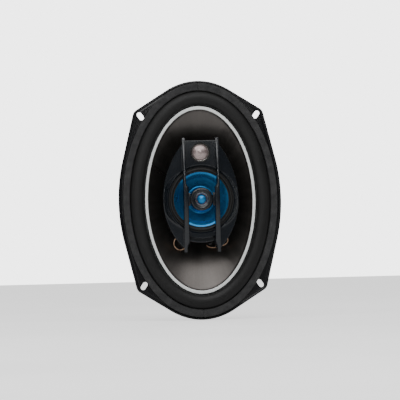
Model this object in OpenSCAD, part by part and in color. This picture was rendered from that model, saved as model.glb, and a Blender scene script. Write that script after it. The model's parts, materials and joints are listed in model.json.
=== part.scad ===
// Oval three-way coaxial car speaker: pressed-steel basket, moving oval cone with its motor,
// and a fixed pod in front of the cone that carries a midrange, a tweeter and a super tweeter.
// Every sub-part is drawn lying on the bench, front up: X across, Y along the oval, Z forward,
// with Z = 0 at the plane where the flange meets its panel. upright() then stands it up.

/* [Flange] */
// Width of the oval flange across its sides
flange_w = 163; // [150:1:200]
// Height of the oval flange
flange_h = 239; // [220:1:290]
// Distance between the mounting slots across the speaker
slot_dx = 116; // [104:1:128]
// Distance between the mounting slots along the speaker
slot_dy = 169; // [155:1:190]
// Width of a mounting slot
slot_w = 5; // [4:0.1:6]
// Length of a mounting slot, end to end
slot_l = 8.5; // [6.5:0.1:10.2]
// Radius of the flange corner around each slot
corner_r = 7.6; // [7:0.1:10]
// Thickness of the flange plate and its folded rim
sheet = 1; // [0.8:0.1:1.5]
// Depth of the folded rim
rim_depth = 4.2; // [3:0.1:6]

/* [Gasket and surround] */
// Bare flange outside the gasket at the sides
border_side = 4.35; // [3:0.05:6]
// Bare flange outside the gasket at the ends
border_end = 2.6; // [2:0.05:5]
// Width of the gasket at the sides
gasket_side = 6.75; // [5:0.05:9]
// Width of the gasket at the ends
gasket_end = 7.8; // [6:0.05:10]
// Thickness of the gasket
gasket_t = 3; // [2:0.1:4]
// Width of the surround's half roll
roll_w = 14.6; // [11:0.1:18]
// Height of the half roll
roll_h = 5.6; // [4:0.1:7]
// Thickness of the surround
surround_t = 0.6; // [0.4:0.05:0.8]
// Width of the silver trim ring at the sides
trim_side = 3.2; // [2.6:0.1:4.2]
// Width of the silver trim ring at the ends
trim_end = 3.65; // [3:0.1:4.6]
// Thickness of the trim ring
trim_t = 1.2; // [0.8:0.1:1.8]

/* [Cone and voice coil] */
// Depth of the cone from its rim to its neck
cone_depth = 35; // [30:0.5:42]
// Thickness of the cone, measured front to back
cone_t = 0.9; // [0.6:0.1:1.2]
// How much steeper the cone gets towards its neck
cone_curve = 0.2; // [0:0.05:0.3]
// Outer radius of the voice coil former
former_r = 16; // [13:0.5:20]
// Wall of the voice coil former
former_t = 0.4; // [0.3:0.05:0.5]
// Depth of the winding's copper
winding_t = 1; // [0.6:0.1:1.2]
// Height of the winding
winding_h = 10; // [8:0.5:12]

/* [Basket] */
// Wall of the basket's bowl and cup
wall = 1.4; // [1.2:0.1:1.8]
// Depth of the oval wall behind the mounting plane
bowl_wall = 8; // [6:0.5:10]
// Radius of the shelf that holds the spider
shelf_r = 45; // [42:0.5:50]
// Width of the shelf
shelf_w = 8; // [7:0.5:9]
// Distance from the cone's neck back to the spider shelf
neck_to_shelf = 8.8; // [8:0.2:12]
// Depth of the cup between the shelf and the motor
cup_depth = 10; // [9:0.5:13]

/* [Motor] */
// Radius of the front plate and back plate
plate_r = 40; // [37:0.5:44]
// Thickness of the front plate and back plate
plate_t = 5; // [4:0.5:7]
// Outer radius of the ring magnet
magnet_r = 45; // [41:0.5:52]
// Inner radius of the ring magnet
magnet_bore_r = 21; // [19:0.5:24]
// Thickness of the ring magnet
magnet_t = 16; // [12:0.5:20]
// Air left on each side of the voice coil
coil_gap = 0.6; // [0.4:0.05:0.8]
// Number of rivets that hold the motor
motor_rivets_n = 6; // [4:1:8]
// Radius of a motor rivet's shank
motor_rivet_r = 2.2; // [1.8:0.1:2.8]

/* [Pod] */
// Radius of the round opening in the pod
opening_r = 32.5; // [29:0.5:39]
// Width of the pod beside the opening
wing_w = 5.1; // [4.6:0.1:6.5]
// Distance from the opening up to the pod's top edge
pod_top = 26.1; // [23.5:0.2:29.5]
// Distance from the opening down to the pod's lower tips
pod_bottom = 15.5; // [13.5:0.5:18]
// Height of the pod's front above the mounting plane
pod_front = 18; // [16:0.5:22]
// Thickness of the pod's walls
pod_wall = 2; // [1.6:0.1:2.4]
// Height of the two fins at their crest
fin_h = 7; // [5:0.5:9]
// Distance of a fin's middle from the centre line
fin_x = 16.6; // [16:0.1:18]
// Thickness of a fin at its ends
fin_t = 3.2; // [2.6:0.1:4]
// Radius of the tweeter's hub
hub_r = 11.5; // [10.5:0.1:12.2]

/* [Midrange] */
// Radius of the midrange cone
mid_r = 28.2; // [25:0.1:29]
// Depth of the midrange cone
mid_depth = 12.4; // [10:0.2:14]
// Outer radius of the midrange voice coil former
mid_former_r = 6.9; // [6:0.1:7.6]
// Radius of the midrange magnet and plates
mid_magnet_r = 15; // [13:0.5:16]
// Thickness of the midrange magnet
mid_magnet_t = 7; // [5:0.5:8]

/* [Tweeters] */
// Radius of the tweeter's dome
dome_r = 5; // [4.4:0.1:5.2]
// Height of the tweeter's dome
dome_h = 3; // [2:0.1:3.6]
// Radius of the super tweeter's dome
super_r = 8; // [7:0.1:8.2]
// Height of the super tweeter's dome
super_h = 3; // [2:0.1:3.4]
// Distance from the opening's edge up to the super tweeter's centre
super_y = 14; // [13:0.1:14.5]
// Radius of the round recess that holds the super tweeter
super_recess_r = 10; // [9.8:0.1:10.6]

/* [Terminals] */
// Width of the terminal board
board_w = 30; // [26:0.5:36]
// Thickness of the terminal board
board_t = 1.8; // [1.4:0.1:2.4]
// Width of the positive terminal's blade
positive_w = 6.3; // [4.8:0.1:8]
// Width of the negative terminal's blade
negative_w = 4.8; // [2.8:0.1:6.3]
// Length of a terminal's blade
blade_l = 11; // [8:0.5:13]

/* [Hidden] */
$fn = 96;

seam = 0.1;             // glue line or slip between fitted plastic and metal pieces
overlap = 0.5;          // how far shapes of one piece run into each other
through = 1;            // how far a cutter runs past the face it opens

// Flange: an oval joined to four round corners, and the slots aimed at the centre
flange_a = flange_w / 2;
flange_b = flange_h / 2;
corners = [[1, 1], [-1, 1], [-1, -1], [1, -1]];
slot_angle = atan2(slot_dy, slot_dx);
flange_front = rim_depth;
flange_back = rim_depth - sheet;

// Ovals from the rim inwards, each as [half width, half height]
gasket_out = [flange_a - border_side, flange_b - border_end];
gasket_in = gasket_out - [gasket_side, gasket_end];
lip_out = gasket_out - [0.8, 0.8];
bowl_in = gasket_in - [2.4, 2.4];
bowl_out = bowl_in + [wall, wall];
trim_out = gasket_in - [roll_w + 0.3, roll_w + 0.5];
trim_in = trim_out - [trim_side, trim_end];
cone_rim_in = trim_in - [0.4, 0.4];
cone_rim_out = trim_out + [0.1, 0.1];

// Heights from the flange forward
lip_top = flange_front + surround_t;
gasket_top = lip_top + gasket_t;
trim_top = lip_top + trim_t;
cone_rim_z = flange_front;

// Cone: from a round neck to the oval rim
neck_r = former_r + 0.15;
neck_collar = 2;
neck_z = cone_rim_z - cone_depth;

// Heights from the spider shelf back to the screw head
shelf_z = neck_z - neck_to_shelf;
shelf_t = 1;
cup_r = shelf_r - shelf_w + wall;
seat_front = shelf_z - shelf_t - cup_depth + wall;
seat_back = seat_front - wall;
plate_back = seat_back - plate_t;
magnet_back = plate_back - magnet_t;
yoke_back = magnet_back - plate_t;
pole_top = seat_back + 1;

// Radii of the magnetic gap
former_in = former_r - former_t;
winding_r = former_r + winding_t;
pole_r = former_in - coil_gap;
gap_r = winding_r + coil_gap;
seat_bore_r = gap_r + 1;
winding_mid = seat_back - plate_t / 2;

// Post, and the screw that pulls it onto the pole
post_r = 6;
post_flange_t = 2.5;
post_flange_r = 11;
screw_r = 2;
screw_bore = screw_r + 0.05;
screw_head_r = 4.5;
screw_head_t = 2.6;
screw_grip = 10;
pod_screw_r = 1.2;

// Pod: an outline of two pairs of arcs, widest at the centre
pod_half_w = opening_r + wing_w;
pod_top_y = opening_r + pod_top;
pod_bottom_y = opening_r + pod_bottom;
super_centre_y = opening_r + super_y;
pod_top_half_w = 14.7;
pod_bottom_half_w = 18.4;
arc_top = arc_radius(pod_half_w - pod_top_half_w, pod_top_y);
arc_bottom = arc_radius(pod_half_w - pod_bottom_half_w, pod_bottom_y);
base_front = pod_front - 10;
base_back = base_front - pod_wall;
roof_half_w = fin_x + 2.2;
roof_drop = 7;
collar_top = pod_front - 1;
collar_r = opening_r + 1.4;
collar_foot_r = pod_half_w + 0.5;
collar_foot = pod_front - roof_drop;
tongue_r = opening_r + 10.5;
tongue_step_r = opening_r + 6;
tongue_front = pod_front - 5;
fin_inner = fin_x - fin_t / 2;
fin_outer = fin_x + fin_t / 2;
fin_wide_inner = 12.8;
fin_tip_top = pod_top_y + 2.4;
fin_tip_bottom = pod_bottom_y + 4.5;
hub_front = pod_front + 3;
hub_back = pod_front - 5;
arm_half_h = 6.5;

// Midrange, from the pod's collar back to the floor of its cup
mid_lip_top = collar_top - pod_wall - seam;
mid_surround_t = 0.3;
mid_flange_top = mid_lip_top - mid_surround_t;
mid_flange_t = 2;
mid_flange_r = opening_r + 2.7;
mid_flange_in = opening_r - 1.1;
mid_roll_in = mid_r + 0.2;
mid_roll_h = 1.5;
mid_cone_t = 0.3;
mid_neck_z = mid_flange_top - mid_depth;
mid_plate_t = 2;
mid_winding_t = 0.5;
mid_gap = 0.4;
mid_plate_front = mid_neck_z - 4;
mid_plate_back = mid_plate_front - mid_plate_t;
mid_magnet_back = mid_plate_back - mid_magnet_t;
mid_yoke_back = mid_magnet_back - mid_plate_t - 0.4;
mid_frame_t = 1.2;
cup_floor_t = 2.6;
pod_cup_back = mid_yoke_back - cup_floor_t;
pod_cup_mouth_r = pod_half_w - wing_w + 3.2;
pod_cup_floor_r = mid_magnet_r + 1.5;

// Tweeter in the hub, and super tweeter in the top of the pod
dome_t = 0.2;
tweeter_shell_r = dome_r + 2.3;
tweeter_flange_z = hub_front - 1.6;
dome_back = tweeter_flange_z - seam - dome_t;
tweeter_yoke_back = hub_back + 0.6;
tweeter_yoke_t = 1.2;
tweeter_pole_r = dome_r - 0.7;
tweeter_coil_in = dome_r - 0.3;
tweeter_coil_out = dome_r + 0.2;
tweeter_bezel_in = dome_r + 0.6;
tweeter_bezel_out = dome_r + 1.45;
super_shell_r = super_recess_r - seam;
super_flange_z = pod_front - 2.1;
super_cup_in = super_r + 0.4;
super_coil_in = super_r - 0.8;
super_coil_out = super_r - 0.3;
super_pole_r = super_r - 1.2;

// Terminal board on a lug of the spider shelf
lug_out = shelf_r + 15;
lug_half_w = board_w / 2 - 1;
board_front = shelf_z - shelf_t;
board_back = board_front - board_t;
terminal_y = 8;
terminal_t = 0.8;
blade_x = lug_out - 3;
terminal_rivet_x = shelf_r + 4;
terminal_rivet_r = 1.3;

// Basket legs, as angles round the bowl
leg_angles = [0, 48, 90, 132, 180, 228, 270, 312];
leg_foot_h = 5;
leg_half_foot = 9.5;
leg_half_head = 6.5;
leg_t = 1;
leg_bury = (wall - leg_t) / 2;

// Wires: routes as points on the bench
lead_r = 0.55;
left_anchor = [-15.2, -47.5];
right_anchor = [10.4, -42.6];
left_route = [
    [-20.5, -34.5, 5.4], [-22.2, -35.4, 4.2], [-24.4, -36.8, 2.6], [-26.2, -39.0, 0.6],
    [-27.0, -42.0, -1.4], [-26.8, -44.8, -3.2], [-25.2, -47.2, -4.6], [-22.6, -48.9, -5.8],
    [-19.8, -49.2, -6.8], [-17.4, -48.6, -7.2], [-15.8, -47.9, -7.4],
];
right_route = [
    [21, -35.8, 5.4], [23.8, -36.8, 4.2], [26.4, -39.2, 2.2], [26.8, -42.2, -0.4],
    [24.4, -44.8, -3], [20.2, -46.6, -5.4], [15.6, -47.6, -7.6], [11, -47.6, -9.6],
    [7.9, -46.5, -11.2], [6.5, -45, -12.2],
];
rear_route = [
    [50.8, 10.4, -39.2], [50.6, 10.6, -36], [48.8, 10.8, -33], [45.8, 10.9, -30.8],
    [42.2, 10.8, -28.8], [38.8, 10.4, -26], [36.2, 9.8, -22.6], [34.4, 9, -18.6],
    [33.4, 8.4, -15.6], [33, 8, -14],
];

function arc_radius(dx, dy) = (dx * dx + dy * dy) / (2 * dx);
function dome_radius(r, h) = (r * r + h * h) / (2 * h);
function blend(a, b, v) = a + (b - a) * v;
function oval_point(half, t, z) = [half[0] * cos(t), half[1] * sin(t), z];

// Outline of the convex shape round an oval and the four corners, as the point whose
// outward normal has angle t, moved inwards by inset.
function oval_reach(t) = sqrt(pow(flange_a * cos(t), 2) + pow(flange_b * sin(t), 2));
function corner_centre(t) = [sign(cos(t)) * slot_dx / 2, sign(sin(t)) * slot_dy / 2];
function corner_reach(t) = corner_centre(t) * [cos(t), sin(t)] + corner_r;
function flange_point(t, inset) =
    let (n = [cos(t), sin(t)])
    oval_reach(t) >= corner_reach(t)
        ? [pow(flange_a, 2) * n[0], pow(flange_b, 2) * n[1]] / oval_reach(t) - inset * n
        : corner_centre(t) + (corner_r - inset) * n;
function flange_outline(inset) = [for (t = [1.25 : 2.5 : 359]) flange_point(t, inset)];

// Cone surface: height at a share s of the way from neck to rim, and its ovals
function cone_half(s) = [neck_r, neck_r] + (cone_rim_in - [neck_r, neck_r]) * s;
function cone_height(s) = neck_z + cone_depth * ((1 + cone_curve) * s - cone_curve * s * s);

// Share s of the cone's oval that passes over the point p, by halving the interval
function cone_outside(p, s) = pow(p[0] / cone_half(s)[0], 2) + pow(p[1] / cone_half(s)[1], 2) > 1;
function cone_share(p, lo = 0, hi = 1, steps = 20) =
    let (mid = (lo + hi) / 2)
    steps == 0 ? mid
        : cone_outside(p, mid) ? cone_share(p, mid, hi, steps - 1)
        : cone_share(p, lo, mid, steps - 1);
function cone_over(p) = [p[0], p[1], cone_height(cone_share(p))];
function unit(v) = v / norm(v);
function cone_normal(p) =
    let (e = 0.5)
    unit(cross(cone_over(p + [e, 0]) - cone_over(p - [e, 0]),
               cone_over(p + [0, e]) - cone_over(p - [0, e])));

// Triangles of a closed ring of sections, and of a tube of sections with flat ends
function quad(a, b, c, d) = [[a, b, c], [a, c, d]];
function ring_faces(n, k) = [
    for (i = [0 : n - 1], j = [0 : k - 1])
        let (i2 = (i + 1) % n, j2 = (j + 1) % k)
        each quad(i * k + j, i2 * k + j, i2 * k + j2, i * k + j2)
];
function tube_faces(n, k) = concat(
    [
        for (i = [0 : n - 2], j = [0 : k - 1])
            let (j2 = (j + 1) % k)
            each quad(i * k + j, (i + 1) * k + j, (i + 1) * k + j2, i * k + j2)
    ],
    [for (j = [1 : k - 2]) [0, j, j + 1]],
    [for (j = [1 : k - 2]) [(n - 1) * k, (n - 1) * k + j + 1, (n - 1) * k + j]]
);

module upright() { rotate([90, 0, 0]) children(); }

module oval(half) { scale(half) circle(r = 1, $fn = 240); }

module oval_ring(out, in, back, front) {
    translate([0, 0, back]) linear_extrude(front - back) difference() {
        oval(out);
        oval(in);
    }
}

module disc(r, back, front) { translate([0, 0, back]) cylinder(r = r, h = front - back); }

module ring(r_out, r_in, back, front) {
    difference() {
        disc(r_out, back, front);
        disc(r_in, back - through, front + through);
    }
}

// A closed section of [half, height] pairs, its front side listed outwards, swept round the oval
module oval_sweep(section, steps) {
    polyhedron(
        points = [
            for (i = [0 : steps - 1], p = section) oval_point(p[0], 360 * i / steps, p[1])
        ],
        faces = ring_faces(steps, len(section))
    );
}

// Spherical cap shell with its foot at z
module dome(r, h, t, z) {
    big = dome_radius(r, h);
    translate([0, 0, z]) intersection() {
        translate([0, 0, h - big]) difference() {
            sphere(r = big);
            sphere(r = big - t);
        }
        disc(r + t, 0, h + through);
    }
}

// ---------------------------------------------------------------- basket

module slot_cutter() {
    rotate([0, 0, slot_angle]) linear_extrude(rim_depth + 2 * through) union() {
        square([slot_l - slot_w, slot_w], center = true);
        for (side = [-1, 1]) translate([side * (slot_l - slot_w) / 2, 0]) circle(d = slot_w);
    }
}

module flange() {
    difference() {
        linear_extrude(flange_front) polygon(flange_outline(0));
        translate([0, 0, -through]) linear_extrude(flange_back + through)
            polygon(flange_outline(sheet));
        translate([0, 0, -through]) linear_extrude(flange_front + 2 * through) oval(bowl_in);
        for (c = corners) mirror([c[0] < 0 ? 1 : 0, 0, 0]) mirror([0, c[1] < 0 ? 1 : 0, 0])
            translate([slot_dx / 2, slot_dy / 2, -through]) slot_cutter();
    }
}

// One pressed leg: a strip of the surface between the shelf's circle and the bowl's oval
module leg(middle) {
    stations = [[0, -4.2], [0, -1.5], [0.04, 0.5], [0.2, 2.2], [0.5, 7.5], [0.8, 15.5],
                [0.95, 20.5], [1, 23.5], [1, 27]];
    foot_z = shelf_z + leg_foot_h;
    rise = (-bowl_wall - foot_z) / 23.5;
    columns = 4;
    foot = [shelf_r - leg_bury, shelf_r - leg_bury];
    head = bowl_out - [leg_bury, leg_bury];
    polyhedron(
        points = [
            for (s = stations) each concat(
                [for (c = [0 : columns]) leg_point(middle, c / columns, s, foot, head, foot_z, rise)],
                [for (c = [columns : -1 : 0])
                    leg_point(middle, c / columns, s, foot - [leg_t, leg_t], head - [leg_t, leg_t],
                              foot_z, rise)]
            )
        ],
        faces = tube_faces(len(stations), 2 * (columns + 1))
    );
}
function leg_point(middle, c, s, foot, head, foot_z, rise) =
    let (half = blend(leg_half_foot, leg_half_head, s[0]))
    oval_point(blend(foot, head, s[0]), middle + half * (2 * c - 1),
               foot_z + (s[1] < 0 ? s[1] : s[1] * rise));

module basket() {
    color([0.05, 0.05, 0.055]) upright() union() {
        flange();
        oval_ring(bowl_out, bowl_in, -bowl_wall, flange_front - sheet / 2);
        for (a = leg_angles) leg(a);
        ring(shelf_r, shelf_r - wall, shelf_z - shelf_t, shelf_z + leg_foot_h);
        ring(shelf_r, cup_r - wall, shelf_z - shelf_t, shelf_z);
        ring(cup_r, cup_r - wall, seat_back, shelf_z);
        difference() {
            disc(cup_r, seat_back, seat_front);
            disc(seat_bore_r, seat_back - through, seat_front + through);
            motor_rivet_places() disc(motor_rivet_r + seam, seat_back - through, seat_front + through);
        }
        difference() {
            translate([shelf_r - wall, -lug_half_w, shelf_z - shelf_t])
                cube([lug_out - shelf_r + wall, 2 * lug_half_w, shelf_t]);
            terminal_rivet_places()
                disc(terminal_rivet_r + seam, shelf_z - shelf_t - through, shelf_z + through);
            disc(shelf_r - wall / 2, shelf_z - shelf_t - through, shelf_z + through);
        }
    }
}

module front_gasket() {
    color([0.13, 0.13, 0.13]) upright() oval_ring(gasket_out, gasket_in, lip_top, gasket_top);
}

// ---------------------------------------------------------------- moving cone

function roll_section(drop) = [
    for (q = [180 : -15 : 0])
        let (out = gasket_in - [0.3 + drop, 0.3 + drop], in = trim_out + [0.3 + drop, 0.5 + drop])
        [blend(out, in, (1 - cos(q)) / 2), lip_top - drop + (roll_h - drop / 4) * sin(q)]
];

module surround() {
    lip_in = trim_in + [0.3, 0.3];
    section = concat(
        [[lip_in, lip_top]], roll_section(0), [[lip_out, lip_top], [lip_out, flange_front]],
        [for (p = [12 : -1 : 0]) roll_section(surround_t)[p]],
        [[lip_in, flange_front]]
    );
    color([0.03, 0.03, 0.03]) upright() oval_sweep(section, 72);
}

module cone() {
    shares = [for (i = [0 : 8]) i / 8];
    front = [for (s = shares) [cone_half(s), cone_height(s)]];
    back = [for (i = [8 : -1 : 1]) [cone_half(shares[i]) + [0.1, 0.1], cone_height(shares[i]) - cone_t]];
    collar = [neck_r + 0.7, neck_r + 0.7];
    section = concat(
        [[[neck_r, neck_r], neck_z - neck_collar]],
        front,
        [[cone_rim_out, cone_rim_z], [cone_rim_out, cone_rim_z - cone_t / 2]],
        back,
        [[collar, neck_z - cone_t + 0.6], [collar, neck_z - neck_collar]]
    );
    color([0.28, 0.26, 0.25]) upright() oval_sweep(section, 72);
}

module cone_trim_ring() {
    color([0.78, 0.8, 0.79]) upright() oval_ring(trim_out, trim_in, lip_top, trim_top);
}

module voice_coil_former() {
    color([0.75, 0.55, 0.3]) upright()
        ring(former_r, former_in, winding_mid - winding_h / 2 - 0.5, neck_z + 1.5);
}

module voice_coil_winding() {
    color([0.72, 0.4, 0.2]) upright()
        ring(winding_r, former_r, winding_mid - winding_h / 2, winding_mid + winding_h / 2);
}

// Corrugated spider, as a wave from its collar out to the flat rim on the shelf
module spider() {
    spider_t = 0.5;
    collar_h = 2.4;
    wave_in = former_r + 1.4;
    wave_out = cup_r - wall - 0.6;
    waves = 5;
    z = shelf_z;
    points = [for (i = [0 : 8 * waves]) [
        blend(wave_in, wave_out, i / (8 * waves)), z + 1.2 * sin(360 * waves * i / (8 * waves))
    ]];
    last = len(points) - 1;
    color([0.7, 0.62, 0.42]) upright() rotate_extrude() polygon(concat(
        [[former_r + seam, z], [wave_in, z]],
        points,
        [[shelf_r - wall - seam, z], [shelf_r - wall - seam, z + spider_t]],
        [for (i = [last : -1 : 0]) points[i] + [0, spider_t]],
        [[wave_in - 0.4, z + spider_t], [wave_in - 0.4, z + collar_h], [former_r + seam, z + collar_h]]
    ));
}

// ---------------------------------------------------------------- motor

module motor_rivet_places() {
    for (i = [0 : motor_rivets_n - 1])
        rotate([0, 0, 360 * (i + 0.5) / motor_rivets_n])
            translate([(seat_bore_r + cup_r - wall) / 2, 0, 0]) children();
}

module top_plate() {
    color([0.72, 0.72, 0.7]) upright() difference() {
        ring(plate_r, gap_r, plate_back, seat_back);
        motor_rivet_places() disc(motor_rivet_r + seam, plate_back + 1.5, seat_back + through);
    }
}

module magnet() {
    color([0.2, 0.2, 0.21]) upright() ring(magnet_r, magnet_bore_r, magnet_back, plate_back);
}

module pole_yoke() {
    color([0.72, 0.72, 0.7]) upright() difference() {
        union() {
            disc(plate_r, yoke_back, magnet_back);
            disc(pole_r, yoke_back, pole_top);
        }
        disc(screw_r + 0.6, yoke_back - through, pole_top + through);
    }
}

module motor_rivets() {
    color([0.6, 0.6, 0.6]) upright() motor_rivet_places() {
        disc(motor_rivet_r, plate_back + 1.5 + seam, seat_front + 0.2);
        disc(motor_rivet_r * 1.7, seat_front, seat_front + 1.3);
    }
}

// ---------------------------------------------------------------- terminals

module terminal_rivet_places() {
    for (side = [-1, 1]) translate([terminal_rivet_x, side * 3, 0]) children();
}

module terminal_board() {
    color([0.35, 0.2, 0.1]) upright() difference() {
        translate([shelf_r + 1, -board_w / 2, board_back]) cube([lug_out - shelf_r, board_w, board_t]);
        terminal_rivet_places()
            disc(terminal_rivet_r + seam, board_back - through, board_front + through);
    }
}

module terminal_rivets() {
    color([0.8, 0.75, 0.6]) upright() terminal_rivet_places() {
        disc(terminal_rivet_r, board_back - 0.2, shelf_z + 0.2);
        disc(terminal_rivet_r * 1.8, board_back - 0.8, board_back);
        disc(terminal_rivet_r * 1.8, shelf_z, shelf_z + 0.8);
    }
}

// Blade with a foot on the board, and a solder tab past the board's inner edge
module terminal(width, side) {
    foot_back = board_back - terminal_t;
    translate([shelf_r + 3, side * terminal_y - width / 2 + side * 2, foot_back])
        cube([blade_x - shelf_r - 3, width, terminal_t]);
    translate([blade_x - terminal_t, side * terminal_y - width / 2 + side * 2, foot_back - blade_l])
        difference() {
            cube([terminal_t, width, blade_l + terminal_t]);
            translate([-through, width / 2, 3]) rotate([0, 90, 0])
                cylinder(r = 0.8, h = terminal_t + 2 * through);
        }
}

module positive_terminal() {
    color([0.85, 0.72, 0.35]) upright() terminal(positive_w, 1);
}

module negative_terminal() {
    color([0.82, 0.82, 0.8]) upright() terminal(negative_w, -1);
}

// ---------------------------------------------------------------- wires

// Frame across a route at one of its points
function along(route, i) = unit(route[min(i + 1, len(route) - 1)] - route[max(i - 1, 0)]);
function across(route, i) = unit(cross(along(route, i), [0.31, 0.2, 0.93]));
module wire(route, r) {
    sides = 8;
    polyhedron(
        points = [
            for (i = [0 : len(route) - 1])
                let (u = across(route, i), v = cross(along(route, i), u))
                for (j = [0 : sides - 1])
                    route[i] + r * (u * cos(360 * j / sides) + v * sin(360 * j / sides))
        ],
        faces = tube_faces(len(route), sides)
    );
}

module pod_lead_left() { color([0.75, 0.5, 0.3]) upright() wire(left_route, lead_r); }
module pod_lead_right() { color([0.75, 0.5, 0.3]) upright() wire(right_route, lead_r); }
module rear_lead_positive() { color([0.75, 0.5, 0.3]) upright() wire(rear_route, lead_r); }
module rear_lead_negative() {
    color([0.75, 0.5, 0.3]) upright()
        wire([for (p = rear_route) [p[0], -p[1], p[2]]], lead_r);
}

// A drop of cement that holds a wire's end on the cone
module cement(p, r, h) {
    n = cone_normal(p);
    translate(cone_over(p) + 0.25 * n)
        rotate([0, acos(n[2]), atan2(n[1], n[0])]) intersection() {
            translate([0, 0, h - dome_radius(r, h)]) sphere(r = dome_radius(r, h));
            disc(r + 1, 0, h + 1);
        }
}

module lead_anchors() {
    color([0.02, 0.02, 0.02]) upright() {
        cement(left_anchor, 2.6, 1.5);
        cement(right_anchor, 3.2, 1.9);
    }
}

// ---------------------------------------------------------------- pod

module half_outline(arc, reach, inset) {
    intersection() {
        translate([pod_half_w - arc, 0]) circle(r = arc - inset);
        translate([arc - pod_half_w, 0]) circle(r = arc - inset);
        translate([-pod_half_w, 0]) square([2 * pod_half_w, reach - inset]);
    }
}

module pod_outline(inset) {
    union() {
        half_outline(arc_top, pod_top_y, inset);
        mirror([0, 1]) half_outline(arc_bottom, pod_bottom_y, inset);
    }
}

module pod_prism(inset, back, front) {
    translate([0, 0, back]) linear_extrude(front - back) pod_outline(inset);
}

// Space under a roof that is flat between the fins and falls away beside them
module roof(lower) {
    far = pod_half_w + 10;
    fall = roof_drop * (far - roof_half_w) / (pod_half_w - roof_half_w);
    top = pod_front - lower;
    rotate([90, 0, 0]) linear_extrude(4 * pod_top_y, center = true) polygon([
        [-far, base_back - through], [-far, top - fall], [-roof_half_w, top],
        [roof_half_w, top], [far, top - fall], [far, base_back - through],
    ]);
}

// Raised collar round the opening
module collar(lower) {
    translate([0, 0, base_back - through])
        cylinder(r = collar_foot_r - lower, h = collar_foot - lower - base_back + through);
    translate([0, 0, collar_foot - lower])
        cylinder(r1 = collar_foot_r - lower, r2 = collar_r - lower / 4, h = collar_top - collar_foot);
}

module tongue_zone(r, back) {
    difference() {
        translate([-fin_wide_inner - 1.4, -pod_bottom_y - 10, back])
            cube([2 * fin_wide_inner + 2.8, pod_bottom_y + 10, 40]);
        disc(r, back - through, back + 41);
    }
}

module pod_shield() {
    color([0.06, 0.07, 0.08]) upright() difference() {
        intersection() {
            pod_prism(0, base_front, pod_front);
            union() {
                roof(0);
                collar(0);
            }
        }
        difference() {
            intersection() {
                pod_prism(pod_wall, base_front - through, pod_front);
                union() {
                    roof(pod_wall);
                    collar(pod_wall);
                }
            }
            tongue_zone(mid_flange_r + seam, -10);
        }
        disc(opening_r, base_front - through, pod_front + through);
        disc(mid_flange_r + 0.3, base_front - through, collar_top - pod_wall);
        translate([0, 0, collar_top - 0.8]) cylinder(r1 = opening_r, r2 = opening_r + 1.8, h = 1.8);
        translate([0, super_centre_y, base_front - through])
            cylinder(r = super_recess_r, h = pod_front - base_front + 2 * through);
        tongue_zone(tongue_step_r, tongue_front);
        tongue_zone(tongue_r, base_back - through);
    }
}

module pod_base() {
    color([0.04, 0.04, 0.045]) upright() difference() {
        union() {
            difference() {
                pod_prism(0, base_back, base_front);
                tongue_zone(tongue_r, base_back - through);
            }
            translate([0, 0, pod_cup_back]) cylinder(
                r1 = pod_cup_floor_r + pod_wall, r2 = pod_cup_mouth_r + pod_wall - 0.4,
                h = base_back - pod_cup_back + overlap);
        }
        translate([0, 0, mid_yoke_back])
            cylinder(r1 = pod_cup_floor_r, r2 = pod_cup_mouth_r, h = base_back - mid_yoke_back);
        disc(pod_cup_mouth_r, base_back - 0.01, base_front + through);
        pod_screw_places() disc(pod_screw_r, pod_cup_back - through, mid_yoke_back + through);
    }
}

// Side view of a fin: flat on the pod, with one long arc as its crest
module fin_crest() {
    length = fin_tip_top + fin_tip_bottom;
    crest = arc_radius(fin_h, length / 2);
    rotate([90, 0, 90]) linear_extrude(4 * fin_x, center = true) intersection() {
        translate([(fin_tip_top - fin_tip_bottom) / 2, pod_front + fin_h - crest])
            circle(r = crest, $fn = 720);
        translate([-fin_tip_bottom, pod_front]) square([length, fin_h + 1]);
    }
}

module fin_plan() {
    polygon([
        [fin_outer, fin_tip_top], [fin_inner, fin_tip_top], [fin_inner, 15.5],
        [fin_wide_inner, 11.5], [fin_wide_inner, -42], [fin_inner, -46.5],
        [fin_inner, -fin_tip_bottom], [fin_outer, -fin_tip_bottom],
    ]);
}

module fin_bridge() {
    color([0.06, 0.06, 0.065]) upright() union() {
        for (side = [0, 1]) mirror([side, 0, 0]) intersection() {
            linear_extrude(pod_front + 2 * fin_h) fin_plan();
            fin_crest();
        }
        difference() {
            union() {
                disc(hub_r, hub_back, hub_front);
                translate([-fin_x, -arm_half_h, pod_front - 1.5])
                    cube([2 * fin_x, 2 * arm_half_h, 4]);
            }
            disc(tweeter_shell_r, hub_back - through, tweeter_flange_z);
            disc(tweeter_bezel_out + seam, tweeter_flange_z - 0.01, hub_front + through);
        }
    }
}

module pod_screw_places() {
    for (side = [-1, 1]) translate([0, side * 8.6, 0]) children();
}

module pod_post() {
    base_z = pole_top;
    color([0.75, 0.68, 0.45]) upright() difference() {
        union() {
            disc(post_r + 3, base_z, base_z + post_flange_t);
            disc(post_r, base_z, pod_cup_back);
            disc(post_flange_r, pod_cup_back - post_flange_t, pod_cup_back);
        }
        disc(screw_bore, base_z - through, base_z + screw_grip);
        pod_screw_places()
            disc(pod_screw_r + seam, pod_cup_back - post_flange_t - through, pod_cup_back + through);
    }
}

module post_screw() {
    color([0.7, 0.7, 0.68]) upright() difference() {
        union() {
            disc(screw_head_r, yoke_back - screw_head_t, yoke_back);
            disc(screw_r, yoke_back - screw_head_t, pole_top + screw_grip - 0.5);
        }
        for (turn = [0, 90]) rotate([0, 0, turn])
            translate([-0.6, -2.6, yoke_back - screw_head_t - through]) cube([1.2, 5.2, 1.4 + through]);
    }
}

module pod_screws() {
    under = pod_cup_back - post_flange_t;
    color([0.7, 0.7, 0.68]) upright() pod_screw_places() {
        disc(pod_screw_r, under - 1, mid_yoke_back - 0.3);
        disc(2 * pod_screw_r, under - 1.6, under);
    }
}

// ---------------------------------------------------------------- midrange

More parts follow.
